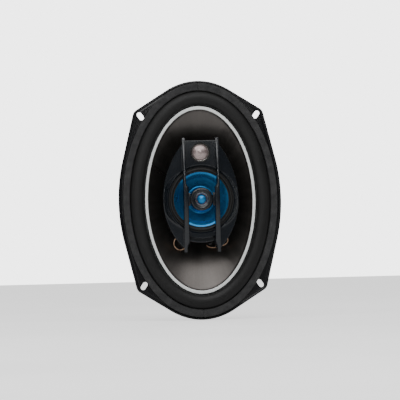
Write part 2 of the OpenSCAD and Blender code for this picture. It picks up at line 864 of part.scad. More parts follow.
module midrange_frame() {
    color([0.05, 0.05, 0.05]) upright() rotate_extrude() polygon([
        [mid_flange_r, mid_flange_top], [mid_flange_in, mid_flange_top],
        [mid_flange_in, mid_flange_top - mid_flange_t / 2],
        [mid_magnet_r - 2, mid_plate_front + mid_frame_t],
        [mid_former_r + 2, mid_plate_front + mid_frame_t], [mid_former_r + 2, mid_plate_front],
        [mid_magnet_r - 1, mid_plate_front],
        [mid_flange_in + 0.8, mid_flange_top - mid_flange_t],
        [mid_flange_r, mid_flange_top - mid_flange_t],
    ]);
}

module midrange_surround() {
    roll_mid = (mid_roll_in + mid_flange_in) / 2;
    roll_half = (mid_flange_in - mid_roll_in) / 2;
    color([0.03, 0.03, 0.03]) upright() rotate_extrude() union() {
        translate([mid_flange_in - 0.2, mid_flange_top])
            square([mid_flange_r - mid_flange_in - 0.4, mid_surround_t]);
        intersection() {
            translate([roll_mid, mid_flange_top]) difference() {
                scale([roll_half + mid_surround_t, mid_roll_h + mid_surround_t]) circle(r = 1);
                scale([roll_half, mid_roll_h]) circle(r = 1);
            }
            translate([mid_roll_in - 1, mid_flange_top])
                square([2 * roll_half + 2, mid_roll_h + mid_surround_t]);
        }
        translate([mid_r - 0.9, mid_flange_top]) square([mid_roll_in - mid_r + 0.8, mid_surround_t]);
    }
}

// Profile of the midrange cone: rim, long flare, a step, a groove, and the neck
module midrange_cone() {
    top = mid_flange_top - seam;
    fall = mid_depth / 12.4;
    profile = [
        [mid_former_r + 0.05, -12.3], [10.4, -10.2], [12.2, -8.5], [12.9, -8.1], [13.5, -8.6],
        [14.2, -8.3], [18, -6.6], [22, -4.4], [22.6, -3.8], [25.4, -1.6],
        [mid_r - 0.9, -0.6], [mid_r - 0.4, 0],
    ];
    front = [for (p = profile) [p[0], top + p[1] * fall]];
    color([0.1, 0.4, 0.65]) upright() rotate_extrude() polygon(concat(
        front,
        [for (i = [len(front) - 1 : -1 : 0]) front[i] - [0, mid_cone_t]]
    ));
}

module midrange_coil() {
    color([0.72, 0.45, 0.25]) upright() union() {
        ring(mid_former_r, mid_former_r - 0.3, mid_plate_back - 2, mid_neck_z + 0.4);
        ring(mid_former_r + mid_winding_t, mid_former_r - 0.1,
            mid_plate_back - 1.2, mid_plate_front + 1.2);
    }
}

module midrange_top_plate() {
    color([0.7, 0.7, 0.7]) upright()
        ring(mid_magnet_r, mid_former_r + mid_winding_t + mid_gap, mid_plate_back, mid_plate_front);
}

module midrange_magnet() {
    color([0.2, 0.2, 0.21]) upright()
        ring(mid_magnet_r, mid_former_r + 1.9, mid_magnet_back, mid_plate_back);
}

module midrange_yoke() {
    color([0.7, 0.7, 0.7]) upright() union() {
        disc(mid_magnet_r, mid_yoke_back, mid_magnet_back);
        disc(mid_former_r - 0.3 - mid_gap, mid_yoke_back, mid_plate_front);
    }
}

module crossover_capacitors() {
    cap_r = 3;
    cap_l = 10;
    seat = cap_r + 0.3;
    slope = (pod_cup_mouth_r - pod_cup_floor_r) / (base_back - mid_yoke_back);
    cap_z = 0.5 * (base_back + mid_yoke_back) + 2.5;
    wall_r = pod_cup_floor_r + slope * (cap_z - mid_yoke_back);
    cap_x = sqrt(pow(wall_r - seat * sqrt(1 + slope * slope), 2) - cap_l * cap_l / 4);
    color([0.15, 0.25, 0.5]) upright() for (side = [-1, 1])
        translate([side * cap_x, cap_l / 2, cap_z]) rotate([90, 0, 0]) cylinder(r = cap_r, h = cap_l);
}

// ---------------------------------------------------------------- tweeters

module tweeter_dome() {
    color([0.1, 0.4, 0.7]) upright() union() {
        dome(dome_r, dome_h, dome_t, dome_back + dome_t);
        ring(tweeter_bezel_in - seam, dome_r - 0.1, dome_back, dome_back + dome_t);
    }
}

module tweeter_coil() {
    color([0.72, 0.45, 0.25]) upright()
        ring(tweeter_coil_out, tweeter_coil_in, dome_back - 2.2, dome_back);
}

module tweeter_yoke() {
    top = dome_back - 0.35;
    color([0.7, 0.7, 0.7]) upright() difference() {
        disc(tweeter_shell_r - seam / 2, tweeter_yoke_back, top);
        disc(tweeter_coil_out + mid_gap, tweeter_yoke_back + tweeter_yoke_t, top + through);
    }
}

module tweeter_magnet() {
    top = dome_back - 0.7;
    color([0.6, 0.6, 0.62]) upright() disc(tweeter_pole_r, tweeter_yoke_back + tweeter_yoke_t, top);
}

module tweeter_bezel() {
    color([0.5, 0.5, 0.52]) upright()
        ring(tweeter_bezel_out, tweeter_bezel_in, tweeter_flange_z, hub_front + 0.4);
}

module super_tweeter_dome() {
    color([0.8, 0.7, 0.7]) upright() translate([0, super_centre_y, 0])
        dome(super_r, super_h, dome_t, super_flange_z + 0.3);
}

module super_tweeter_coil() {
    top = super_flange_z + 0.3;
    color([0.72, 0.45, 0.25]) upright() translate([0, super_centre_y, 0])
        ring(super_coil_out, super_coil_in, top - 2.6, top);
}

module super_tweeter_yoke() {
    color([0.7, 0.7, 0.7]) upright() translate([0, super_centre_y, 0]) difference() {
        disc(super_shell_r, base_front, super_flange_z);
        disc(super_cup_in, base_front + tweeter_yoke_t, super_flange_z + through);
    }
}

module super_tweeter_magnet() {
    color([0.6, 0.6, 0.62]) upright() translate([0, super_centre_y, 0])
        disc(super_pole_r, base_front + tweeter_yoke_t, super_flange_z - 0.7);
}

module super_tweeter_ring() {
    color([0.05, 0.05, 0.05]) upright() translate([0, super_centre_y, 0])
        ring(super_shell_r, super_r + 0.35, super_flange_z, super_flange_z + 1.2);
}

basket();
front_gasket();
surround();
cone();
cone_trim_ring();
voice_coil_former();
voice_coil_winding();
spider();
top_plate();
magnet();
pole_yoke();
motor_rivets();
terminal_board();
terminal_rivets();
positive_terminal();
negative_terminal();
rear_lead_positive();
rear_lead_negative();
pod_post();
post_screw();
pod_screws();
pod_base();
pod_shield();
fin_bridge();
midrange_frame();
midrange_surround();
midrange_cone();
midrange_coil();
midrange_top_plate();
midrange_magnet();
midrange_yoke();
tweeter_dome();
tweeter_coil();
tweeter_magnet();
tweeter_yoke();
tweeter_bezel();
super_tweeter_dome();
super_tweeter_coil();
super_tweeter_magnet();
super_tweeter_yoke();
super_tweeter_ring();
crossover_capacitors();
pod_lead_left();
pod_lead_right();
lead_anchors();
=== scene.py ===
# %% [markdown]
# # An oval coaxial car speaker
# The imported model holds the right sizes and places. This script dresses it: each visible piece is
# worked out again as a finer surface with numpy, and gets a finish made of nodes. The pieces are
# drawn lying on the bench, front up, in millimetres, because a speaker is easier to think about that
# way: X across, Y along the oval, Z forward. One helper then stands them up.

# %% Load the frame and keep its box
import json
import math

import bmesh
import bpy
import numpy as np
from mathutils import Matrix, Vector


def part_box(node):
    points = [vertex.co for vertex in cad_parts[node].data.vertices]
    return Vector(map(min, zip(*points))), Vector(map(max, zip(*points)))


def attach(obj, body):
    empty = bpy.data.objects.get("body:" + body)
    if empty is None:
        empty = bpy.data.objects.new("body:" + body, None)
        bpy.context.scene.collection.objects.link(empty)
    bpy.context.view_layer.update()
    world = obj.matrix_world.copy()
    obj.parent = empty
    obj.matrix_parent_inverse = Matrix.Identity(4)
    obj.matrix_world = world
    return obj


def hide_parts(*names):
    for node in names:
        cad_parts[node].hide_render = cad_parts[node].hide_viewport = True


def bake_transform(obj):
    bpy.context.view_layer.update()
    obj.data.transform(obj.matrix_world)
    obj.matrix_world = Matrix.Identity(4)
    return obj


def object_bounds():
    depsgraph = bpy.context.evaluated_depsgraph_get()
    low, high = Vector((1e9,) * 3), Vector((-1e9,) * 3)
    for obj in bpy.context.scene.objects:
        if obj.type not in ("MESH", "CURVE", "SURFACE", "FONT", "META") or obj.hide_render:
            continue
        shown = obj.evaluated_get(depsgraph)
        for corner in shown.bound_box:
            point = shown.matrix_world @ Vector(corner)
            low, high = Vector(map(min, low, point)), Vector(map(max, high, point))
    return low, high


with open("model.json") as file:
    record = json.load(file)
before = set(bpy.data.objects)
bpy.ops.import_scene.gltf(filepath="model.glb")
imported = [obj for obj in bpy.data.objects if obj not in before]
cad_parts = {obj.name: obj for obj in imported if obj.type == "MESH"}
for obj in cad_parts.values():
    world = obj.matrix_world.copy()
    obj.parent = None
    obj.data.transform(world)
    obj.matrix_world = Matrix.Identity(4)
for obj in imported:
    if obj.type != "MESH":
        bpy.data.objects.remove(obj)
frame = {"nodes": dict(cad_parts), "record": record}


def box_lists():
    """The shown object's lowest and highest corners as plain lists."""
    return [[float(v) for v in corner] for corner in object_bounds()]


cad_box = box_lists()
print("nodes in the frame:", len(frame["nodes"]), "box:", cad_box)

# %% [markdown]
# ## From the bench to the frame
# Every shape below is an array of bench points. Turning (x, y, z) into (x, -z, y) stands the
# speaker up so that it faces -Y. A CAD node's box, read back the other way, gives the sizes.

# %% Bench helpers
MM = 0.001
TAU = 2 * math.pi


def round_angles(count):
    """Evenly spaced angles once round, without the last, which would repeat the first."""
    return np.linspace(0, TAU, count, endpoint=False)


def step(value, low, high):
    """0 below low, 1 above high, and 3t^2 - 2t^3 between them."""
    t = np.clip((value - low) / (high - low), 0, 1)
    return t * t * (3 - 2 * t)


def upright(points):
    """Bench millimetres to frame metres: across stays X, along becomes Z, forward becomes -Y."""
    p = np.asarray(points, float)
    return np.stack([p[..., 0], -p[..., 2], p[..., 1]], -1) * MM


class Span:
    """A CAD node's box on the bench, in millimetres: half sizes, radius, back and front."""

    def __init__(self, node):
        low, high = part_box(node)
        self.half = np.array([high[0] - low[0], high[2] - low[2]]) / 2 / MM
        self.r = float(self.half[0])
        self.back = -high[1] / MM
        self.front = -low[1] / MM


gasket = Span("front_gasket")
trim = Span("cone_trim_ring")
print("gasket half sizes:", gasket.half, "trim ring half sizes:", trim.half)

# %% [markdown]
# ## Sizes that the boxes don't show
# A box gives only outer sizes. The widths of rings, the walls and the pod's arcs are the design's
# own values, named once here, so that neighbouring pieces still meet.

# %% Named sizes in millimetres
flange = Span("basket")
FLANGE_HALF = flange.half
SLOT_DX, SLOT_DY, SLOT_W, SLOT_L = 116, 169, 5, 8.5
CORNER_R = 7.6
SHEET = 1.0
PLATE_FRONT = 4.2
gasket_in = gasket.half - [6.75, 7.8]
bowl_in = gasket_in - 2.4
bowl_out = bowl_in + 1.4
trim_in = trim.half - [3.2, 3.65]
cone_rim = trim_in - 0.4
LIP_TOP = gasket.back
ROLL_H = 5.6
NECK_R, NECK_Z = 16.15, -30.8
CONE_DEPTH = PLATE_FRONT - NECK_Z
CONE_CURVE = 0.2
SHELF_R, SHELF_Z = 45.0, -39.6
CUP_R = 38.4
SEAT_BACK = -50.6
OPENING_R = 32.5
POD_HALF_W, POD_TOP, POD_BOTTOM = 37.6, 58.6, 48.0
POD_FRONT, POD_BASE_FRONT = 18.0, 8.0
FIN_IN, FIN_OUT, FIN_WIDE_IN = 15.0, 18.2, 12.8
SUPER_Y = 46.5
print("bowl half sizes:", bowl_out, "cone rim half sizes:", cone_rim)

# %% [markdown]
# ## Meshes from grids
# A grid of points with wrapped rows and columns is a closed tube or a ring. Building the faces from
# index arrays is quick, and recalculating the normals once at the end makes every shell face out.

# %% Grid to piece


def quads(rows, cols, wrap_rows, wrap_cols):
    """Index quads of a grid: each corner with its right, upper right and upper neighbour."""
    i = np.arange(rows if wrap_rows else rows - 1)[:, None]
    j = np.arange(cols if wrap_cols else cols - 1)[None, :]
    i2, j2 = (i + 1) % rows, (j + 1) % cols
    return np.stack([i * cols + j, i * cols + j2, i2 * cols + j2, i2 * cols + j], -1).reshape(-1, 4)


def build(name, parts, sharp=35, merge=0.004):
    """One mesh object from (points, face blocks) parts on the bench: doubles merged, normals out,
    smooth except across edges sharper than sharp degrees. A block holds faces of one length."""
    verts, faces, start = [], [], 0
    for points, blocks in parts:
        verts.append(upright(np.asarray(points).reshape(-1, 3)))
        for block in blocks:
            faces += (block + start).tolist()
        start += len(verts[-1])
    mesh = bpy.data.meshes.new(name)
    mesh.from_pydata(np.concatenate(verts).tolist(), [], faces)
    bm = bmesh.new()
    bm.from_mesh(mesh)
    bmesh.ops.remove_doubles(bm, verts=bm.verts, dist=merge * MM)
    bmesh.ops.recalc_face_normals(bm, faces=bm.faces)
    bm.to_mesh(mesh)
    bm.free()
    mesh.shade_smooth()
    mesh.set_sharp_from_angle(angle=math.radians(sharp))
    obj = bpy.data.objects.new(name, mesh)
    bpy.context.scene.collection.objects.link(obj)
    return obj


def ring_part(grid):
    """A closed ring: both the rows and the columns join up."""
    rows, cols = grid.shape[:2]
    return grid, [quads(rows, cols, True, True)]


def tube_part(grid):
    """A tube whose columns join up, closed by one polygon at each end."""
    rows, cols = grid.shape[:2]
    ends = np.arange(cols) + [[0], [(rows - 1) * cols]]
    return grid, [quads(rows, cols, False, True), ends]


def rounded(points, radius, steps=4):
    """A closed outline with each corner replaced by a short parabola that starts and ends radius
    away from it, or half the side if that is nearer. radius is one number or one per corner."""
    p = np.asarray(points, float)
    r = np.broadcast_to(radius, len(p))
    before, after = np.roll(p, 1, 0) - p, np.roll(p, -1, 0) - p
    out = []
    for corner, a, b, size in zip(p, before, after, r):
        la, lb = np.linalg.norm(a), np.linalg.norm(b)
        if size <= 0:
            out.append(corner[None])
            continue
        start = corner + a / la * min(size, la / 2)
        end = corner + b / lb * min(size, lb / 2)
        q = np.linspace(0, 1, steps + 1)[:, None]
        out.append((1 - q) ** 2 * start + 2 * q * (1 - q) * corner + q ** 2 * end)
    return np.concatenate(out)


def turned(profile, centre=(0, 0), steps=160):
    """A lathe part: the closed profile of (radius, height) pairs carried round the centre."""
    a = round_angles(steps)[:, None]
    r, z = profile[:, 0][None], profile[:, 1][None]
    x = centre[0] + r * np.cos(a)
    y = centre[1] + r * np.sin(a)
    return ring_part(np.stack([x, y, np.broadcast_to(z, x.shape)], -1))


def oval_points(half, angle, z):
    """Points on an oval: half width times the cosine, half height times the sine."""
    half = np.asarray(half, float)
    return np.stack([half[..., 0] * np.cos(angle), half[..., 1] * np.sin(angle),
                     np.broadcast_to(z, half.shape[:-1])], -1)


def oval_swept(section, steps):
    """A closed section of (half width, half height, height) rows carried round the oval."""
    a = round_angles(steps)[:, None]
    s = np.asarray(section, float)
    x, y = s[:, 0] * np.cos(a), s[:, 1] * np.sin(a)
    return np.stack([x, y, np.broadcast_to(s[:, 2], x.shape)], -1)


print("helpers ready")

# %% [markdown]
# ## Shader groups
# Several finishes share the same effects: blotches and fine grain, and marks that run round or out
# from the speaker's axis, as on turned steel or a spun film. Each effect is one node group with
# named sockets, and each material places it with its own values. A group gives out only colours and
# masks; the Principled shader stays in the material, so that the finish can still be exported.

# %% Node helpers and groups


def new_group(name, inputs, outputs):
    """An empty shader group with (name, socket type, default) inputs and outputs."""
    group = bpy.data.node_groups.new(name, "ShaderNodeTree")
    for way, sockets in (("INPUT", inputs), ("OUTPUT", outputs)):
        for socket in sockets:
            made = group.interface.new_socket(socket[0], in_out=way, socket_type=socket[1])
            if way == "INPUT" and len(socket) > 2:
                made.default_value = socket[2]
    return group, group.nodes.new("NodeGroupInput"), group.nodes.new("NodeGroupOutput")


def node(tree, kind, inputs=None, **settings):
    """A node with its settings, whose inputs are values or other nodes' output sockets."""
    made = tree.nodes.new(kind)
    for key, value in settings.items():
        setattr(made, key, value)
    for key, value in (inputs or {}).items():
        socket = made.inputs[key]
        if isinstance(value, bpy.types.NodeSocket):
            tree.links.new(value, socket)
        else:
            socket.default_value = value
    return made


FLOAT, VECTOR, COLOR = "NodeSocketFloat", "NodeSocketVector", "NodeSocketColor"

grain, g_in, g_out = new_group(
    "surface_grain",
    [("Vector", VECTOR), ("Blotch Scale", FLOAT, 60.0), ("Grain Scale", FLOAT, 1500.0),
     ("Colour A", COLOR), ("Colour B", COLOR), ("Rough A", FLOAT, 0.3), ("Rough B", FLOAT, 0.4)],
    [("Colour", COLOR), ("Roughness", FLOAT), ("Height", FLOAT)])
blotch = node(grain, "ShaderNodeTexNoise", {"Vector": g_in.outputs["Vector"],
                                            "Scale": g_in.outputs["Blotch Scale"], "Detail": 5.0})
fine = node(grain, "ShaderNodeTexNoise", {"Vector": g_in.outputs["Vector"],
                                          "Scale": g_in.outputs["Grain Scale"], "Detail": 3.0})
spread = node(grain, "ShaderNodeMapRange", {"Value": blotch.outputs["Fac"], "From Min": 0.32,
                                            "From Max": 0.68})
both = node(grain, "ShaderNodeMath", {0: spread.outputs["Result"], 1: fine.outputs["Fac"]},
            operation="MULTIPLY")
mixed = node(grain, "ShaderNodeMix", {0: both.outputs[0], 6: g_in.outputs["Colour A"],
                                      7: g_in.outputs["Colour B"]}, data_type="RGBA")
grain.links.new(mixed.outputs[2], g_out.inputs["Colour"])
rough = node(grain, "ShaderNodeMapRange", {"Value": spread.outputs["Result"],
                                           "To Min": g_in.outputs["Rough A"],
                                           "To Max": g_in.outputs["Rough B"]})
grain.links.new(rough.outputs["Result"], g_out.inputs["Roughness"])
grain.links.new(fine.outputs["Fac"], g_out.inputs["Height"])

spun, s_in, s_out = new_group(
    "marks_round_the_axis",
    [("Vector", VECTOR), ("Around", FLOAT, 40.0), ("Outward", FLOAT, 3000.0)],
    [("Mask", FLOAT)])
flat = node(spun, "ShaderNodeVectorMath", {0: s_in.outputs["Vector"], 1: (1, 0, 1)},
            operation="MULTIPLY")
length = node(spun, "ShaderNodeVectorMath", {0: flat.outputs["Vector"]}, operation="LENGTH")
unit = node(spun, "ShaderNodeVectorMath", {0: flat.outputs["Vector"]}, operation="NORMALIZE")
turn = node(spun, "ShaderNodeVectorMath", {0: unit.outputs["Vector"], "Scale": s_in.outputs["Around"]},
            operation="SCALE")
out = node(spun, "ShaderNodeMath", {0: length.outputs["Value"], 1: s_in.outputs["Outward"]},
           operation="MULTIPLY")
lift = node(spun, "ShaderNodeCombineXYZ", {"Y": out.outputs[0]})
place = node(spun, "ShaderNodeVectorMath", {0: turn.outputs["Vector"], 1: lift.outputs["Vector"]},
             operation="ADD")
marks = node(spun, "ShaderNodeTexNoise", {"Vector": place.outputs["Vector"], "Scale": 1.0,
                                          "Detail": 4.0, "Roughness": 0.6})
spun.links.new(marks.outputs["Fac"], s_out.inputs["Mask"])
print("shader groups:", grain.name, spun.name)

# %% [markdown]
# ## Finishes
# Moulded plastic, paint, rubber and gasket board differ in colour, gloss and grain, so one function
# makes them from their values. Metals and metallised films add marks round the axis: fine rings on
# turned steel, soft streaks outwards on the films. No finish is one flat colour.

# %% Materials


def finish(name, a, b, rough, blotch_scale=60, grain_scale=1500, bump=0.1, depth=0.05, **constants):
    """A material that wanders between colours a and b and between two roughnesses, with a grain."""
    mat = bpy.data.materials.new(name)
    mat.use_nodes = True
    tree = mat.node_tree
    shader = tree.nodes["Principled BSDF"]
    where = node(tree, "ShaderNodeTexCoord")
    effect = node(tree, "ShaderNodeGroup", node_tree=grain)
    tree.links.new(where.outputs["Object"], effect.inputs["Vector"])
    for socket, value in (("Blotch Scale", blotch_scale), ("Grain Scale", grain_scale),
                          ("Colour A", (*a, 1)), ("Colour B", (*b, 1)),
                          ("Rough A", rough[0]), ("Rough B", rough[1])):
        effect.inputs[socket].default_value = value
    bumps = node(tree, "ShaderNodeBump", {"Height": effect.outputs["Height"], "Strength": bump,
                                          "Distance": depth * MM})
    tree.links.new(effect.outputs["Colour"], shader.inputs["Base Color"])
    tree.links.new(effect.outputs["Roughness"], shader.inputs["Roughness"])
    tree.links.new(bumps.outputs["Normal"], shader.inputs["Normal"])
    for socket, value in constants.items():
        shader.inputs[socket.replace("_", " ")].default_value = value
    return mat


def scale_colour(tree, shader, share, low, high):
    """Multiplies the base colour by low to high as share runs from 0 to 1."""
    before = shader.inputs["Base Color"].links[0].from_socket
    gain = node(tree, "ShaderNodeMapRange", {"Value": share, "To Min": low, "To Max": high})
    scaled = node(tree, "ShaderNodeVectorMath", {0: before, "Scale": gain.outputs["Result"]},
                  operation="SCALE")
    tree.links.new(scaled.outputs["Vector"], shader.inputs["Base Color"])


def add_marks(mat, around, outward, light, rough_swing):
    """Marks round the axis: they lighten the colour by the share light and swing the roughness."""
    tree = mat.node_tree
    shader = tree.nodes["Principled BSDF"]
    where = next(n for n in tree.nodes if n.type == "TEX_COORD")
    effect = node(tree, "ShaderNodeGroup", node_tree=spun)
    tree.links.new(where.outputs["Object"], effect.inputs["Vector"])
    effect.inputs["Around"].default_value = around
    effect.inputs["Outward"].default_value = outward
    mask = node(tree, "ShaderNodeMapRange", {"Value": effect.outputs["Mask"], "From Min": 0.3,
                                             "From Max": 0.7})
    scale_colour(tree, shader, mask.outputs["Result"], 1 - light, 1 + light)
    before = shader.inputs["Roughness"].links[0].from_socket
    swing = node(tree, "ShaderNodeMapRange", {"Value": mask.outputs["Result"],
                                              "To Min": -rough_swing, "To Max": rough_swing})
    total = node(tree, "ShaderNodeMath", {0: before, 1: swing.outputs["Result"]}, operation="ADD",
                 use_clamp=True)
    tree.links.new(total.outputs[0], shader.inputs["Roughness"])


def add_waves(mat, direction, scale, light, bump, depth):
    """Even ridges along one direction, such as turns of wire or threads: bands that raise the ridges
    and darken the grooves by the share light; the darker grooves are painted shade."""
    tree = mat.node_tree
    shader = tree.nodes["Principled BSDF"]
    where = next(n for n in tree.nodes if n.type == "TEX_COORD")
    waves = node(tree, "ShaderNodeTexWave", {"Vector": where.outputs["Object"], "Scale": scale,
                                             "Distortion": 0.3, "Detail": 1.0},
                 bands_direction=direction)
    # Painted shade: the colour is darker in the grooves, where shadow falls between the ridges.
    scale_colour(tree, shader, waves.outputs["Fac"], 1 - light, 1.0)
    first = next(n for n in tree.nodes if n.type == "BUMP")
    ridge = node(tree, "ShaderNodeBump", {"Height": waves.outputs["Fac"], "Strength": bump,
                                          "Distance": depth * MM,
                                          "Normal": first.outputs["Normal"]})
    tree.links.new(ridge.outputs["Normal"], shader.inputs["Normal"])


FINISH_VALUES = {
    "black_steel": ((0.003, 0.003, 0.004), (0.006, 0.006, 0.007), (0.16, 0.24), 25, 500, 0.03, 0.01,
                    dict(Specular_IOR_Level=0.3)),
    "gasket": ((0.018, 0.018, 0.019), (0.075, 0.075, 0.075), (0.85, 0.97), 130, 1400, 0.9, 0.35, {}),
    "surround_rubber": ((0.004, 0.004, 0.004), (0.009, 0.009, 0.009), (0.42, 0.54), 40, 1300, 0.25,
                        0.06, dict(Specular_IOR_Level=0.35)),
    "cone_film": ((0.1, 0.092, 0.087), (0.135, 0.124, 0.116), (0.28, 0.34), 12, 700, 0.05, 0.02,
                  dict(Metallic=0.92)),
    "silver_trim": ((0.86, 0.89, 0.88), (0.97, 1.0, 0.99), (0.35, 0.55), 330, 1100, 0.8, 0.25,
                    dict(Metallic=0.1)),
    "former_film": ((0.3, 0.13, 0.04), (0.5, 0.25, 0.09), (0.3, 0.45), {}),
    "copper": ((0.5, 0.19, 0.09), (0.8, 0.4, 0.22), (0.25, 0.4), 80, 900, dict(Metallic=1.0)),
    "spider_cloth": ((0.34, 0.22, 0.08), (0.52, 0.37, 0.17), (0.75, 0.9), 90, 1200, 0.6, 0.15, {}),
    "plated_steel": ((0.5, 0.49, 0.46), (0.66, 0.65, 0.62), (0.24, 0.38), 45, 800, 0.1, 0.03,
                     dict(Metallic=1.0)),
    "ferrite": ((0.022, 0.022, 0.024), (0.05, 0.05, 0.052), (0.45, 0.65), 70, 900, 0.6, 0.12, {}),
    "terminal_board": ((0.09, 0.035, 0.012), (0.16, 0.07, 0.03), (0.4, 0.55), 150, 700, 0.3, 0.08, {}),
    "brass": ((0.62, 0.4, 0.14), (0.8, 0.58, 0.26), (0.2, 0.34), 90, 900, 0.1, 0.03,
              dict(Metallic=1.0)),
    "copper_braid": ((0.6, 0.36, 0.22), (0.97, 0.76, 0.6), (0.25, 0.42), 900, 4000, 0.3, 0.05,
                     dict(Metallic=0.85)),
    "black_plastic": ((0.008, 0.008, 0.008), (0.02, 0.02, 0.02), (0.4, 0.55), 60, 900, 0.3, 0.06, {}),
    "gloss_plastic": ((0.004, 0.006, 0.009), (0.009, 0.012, 0.016), (0.15, 0.23), 35, 600, 0.04, 0.01,
                      dict(Coat_Weight=0.15, Coat_Roughness=0.06)),
    "blue_film": ((0.02, 0.19, 0.46), (0.07, 0.38, 0.74), (0.27, 0.36), 50, 500, 0.05, 0.02,
                  dict(Metallic=0.82)),
    "bezel_metal": ((0.2, 0.22, 0.25), (0.36, 0.38, 0.42), (0.2, 0.3), 120, 900, 0.1, 0.03,
                    dict(Metallic=1.0)),
    "pearl_film": ((0.36, 0.28, 0.275), (0.52, 0.43, 0.425), (0.22, 0.34), 160, 900, 0.15, 0.04,
                   dict(Metallic=0.7, Coat_Weight=0.4, Coat_Roughness=0.08)),
    "capacitor_sleeve": ((0.008, 0.025, 0.1), (0.02, 0.06, 0.2), (0.25, 0.4), {}),
    "cement": ((0.004, 0.004, 0.004), (0.03, 0.03, 0.03), (0.12, 0.4), 400, 1500, 0.7, 0.2, {}),
}
FINISHES = {}
for name, (*values, constants) in FINISH_VALUES.items():
    FINISHES[name] = finish(name, *values, **constants)
for name, *values in [("cone_film", 7, 3, 0.1, 0.03), ("plated_steel", 2, 2600, 0.1, 0.08),
                      ("ferrite", 2, 900, 0.2, 0.08), ("blue_film", 2, 220, 0.08, 0.02),
                      ("surround_rubber", 3, 500, 0.15, 0.05)]:
    add_marks(FINISHES[name], *values)
# Wire turns, cloth waves and former bands, each with painted shade in its grooves.
for name, *values in [("copper", "Y", 900, 0.45, 0.8, 0.12), ("spider_cloth", "X", 330, 0.25, 0.6, 0.15),
                      ("former_film", "Y", 300, 0.15, 0.3, 0.05)]:
    add_waves(FINISHES[name], *values)
print("materials:", len(FINISHES))

# %% [markdown]
# ## Finishing a piece
# Each new piece takes its material from its record slot, rides on its body unless it is told not
# to, and stands in for the CAD node of the same place. One helper does these steps.

# %% Fit a piece to the frame
SLOTS = {p["node"]: p["material_slot"] for p in frame["record"]["subparts"]}
BODY = {n: b for b, members in frame["record"]["behaviour"]["bodies"].items() for n in members}


def fit(obj, *nodes, rides=True):
    """Gives obj the first node's finish, its body unless rides is false, and hides the nodes that it
    stands for.
    """
    obj.data.materials.clear()
    obj.data.materials.append(FINISHES[SLOTS[nodes[0]]])
    if rides:
        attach(obj, BODY[nodes[0]])
    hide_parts(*nodes)
    print(obj.name, len(obj.data.polygons), "faces")
    return obj


def turned_piece(name, node_name, shape, radius=0.3, centre=(0, 0), steps=160):
    """A turned piece with softly broken edges that stands for one CAD node."""
    part = turned(rounded(np.array(shape, float), radius, 3), centre, steps)
    return fit(build(name, [part], sharp=32), node_name)


def washer(outer, inner, back, front):
    """The section of a plain ring."""
    return [(outer, front), (inner, front), (inner, back), (outer, back)]


def mesh_points(obj):
    """The mesh's points in metres as one array."""
    co = np.empty(len(obj.data.vertices) * 3)
    obj.data.vertices.foreach_get("co", co)
    return co.reshape(-1, 3)


def blend_by_radius(obj):
    """Reads a round piece's points in mm; it sets no blend on them."""
    co = mesh_points(obj) / MM


print("helpers for pieces ready")

# %% [markdown]
# ## The flange
# The flange is one pressing: a flat plate whose outer edge is folded back. Its outline is a tight
# band round an oval and four corner circles, which is a convex shape, so the farthest point in each
# direction gives the whole outline. Spacing the points evenly along it keeps the folded edge smooth,
# and insets along the outline's own normal give the rim an even width everywhere.

# %% Flange outline
COLUMNS = 720
TRACE_STEPS = 20000


def flange_outline(count):
    """(points, normals) evenly spaced along the flange's edge. In each direction the farthest
    point is taken from the oval, at (a^2 cos, b^2 sin) / root(a^2 cos^2 + b^2 sin^2), or from the
    corner circles, at centre + radius times the direction, whichever reaches farther."""
    t = round_angles(TRACE_STEPS)
    normal = np.column_stack([np.cos(t), np.sin(t)])
    a, b = FLANGE_HALF
    reach = np.sqrt((a * normal[:, 0]) ** 2 + (b * normal[:, 1]) ** 2)
    best = np.column_stack([a ** 2 * normal[:, 0], b ** 2 * normal[:, 1]]) / reach[:, None]
    for sx in (1, -1):
        for sy in (1, -1):
            centre = np.array([sx * SLOT_DX / 2, sy * SLOT_DY / 2])
            support = normal @ centre + CORNER_R
            farther = (support > reach)[:, None]
            best = np.where(farther, centre + CORNER_R * normal, best)
            reach = np.maximum(reach, support)
    closed = np.vstack([best, best[:1]])
    run = np.concatenate([[0], np.cumsum(np.linalg.norm(np.diff(closed, axis=0), axis=1))])
    even = np.linspace(0, run[-1], count, endpoint=False)
    points = np.column_stack([np.interp(even, run, closed[:, k]) for k in (0, 1)])
    ahead = np.roll(points, -1, 0) - np.roll(points, 1, 0)
    outward = np.column_stack([ahead[:, 1], -ahead[:, 0]])
    return points, outward / np.linalg.norm(outward, axis=1)[:, None]


edge, edge_normal = flange_outline(COLUMNS)
edge_angle = np.arctan2(edge[:, 1] / bowl_out[1], edge[:, 0] / bowl_out[0])
print("flange outline:", edge.min(0), edge.max(0))

# %% [markdown]
# The section across the flange is a short list of points: how far in from the edge, and how high.
# A shallow bead runs just inside the fold, which is what catches the light as a thin double line.
# The last point of the top and the first of the underside lie on the bowl's own oval.

# %% Flange piece
BEAD = [(0.0, 0.0), (0.0, 2.6), (0.12, 3.35), (0.45, 3.95), (0.95, 4.2), (1.6, 4.2), (2.1, 4.02),
        (2.6, 3.92), (3.2, 3.98), (3.8, 4.16), (4.3, 4.2)]
UNDER = [(3.3, 3.2), (1.6, 3.16), (1.15, 2.85), (1.0, 2.3), (1.0, 0.0)]
inner_edge = oval_points(np.broadcast_to(bowl_out - 0.2, (COLUMNS, 2)), edge_angle, 0)[:, :2]


def with_height(xy, z):
    """Flat points raised to one height."""
    return np.column_stack([xy, np.full(len(xy), z)])


def edge_rows(section):
    """Rows at (inset, height) from the flange's edge."""
    return [with_height(edge - edge_normal * inset, height) for inset, height in section]


bead_in = edge - edge_normal * BEAD[-1][0]
top_inner = [with_height(inner_edge * (1 - q) + bead_in * q, PLATE_FRONT) for q in (0.66, 0.33, 0.0)]
low_inner = [with_height(inner_edge, PLATE_FRONT - SHEET)]
rows = edge_rows(BEAD) + top_inner + low_inner + edge_rows(UNDER)
flange_piece = build("basket_flange", [ring_part(np.array(rows).transpose(1, 0, 2))], sharp=40)


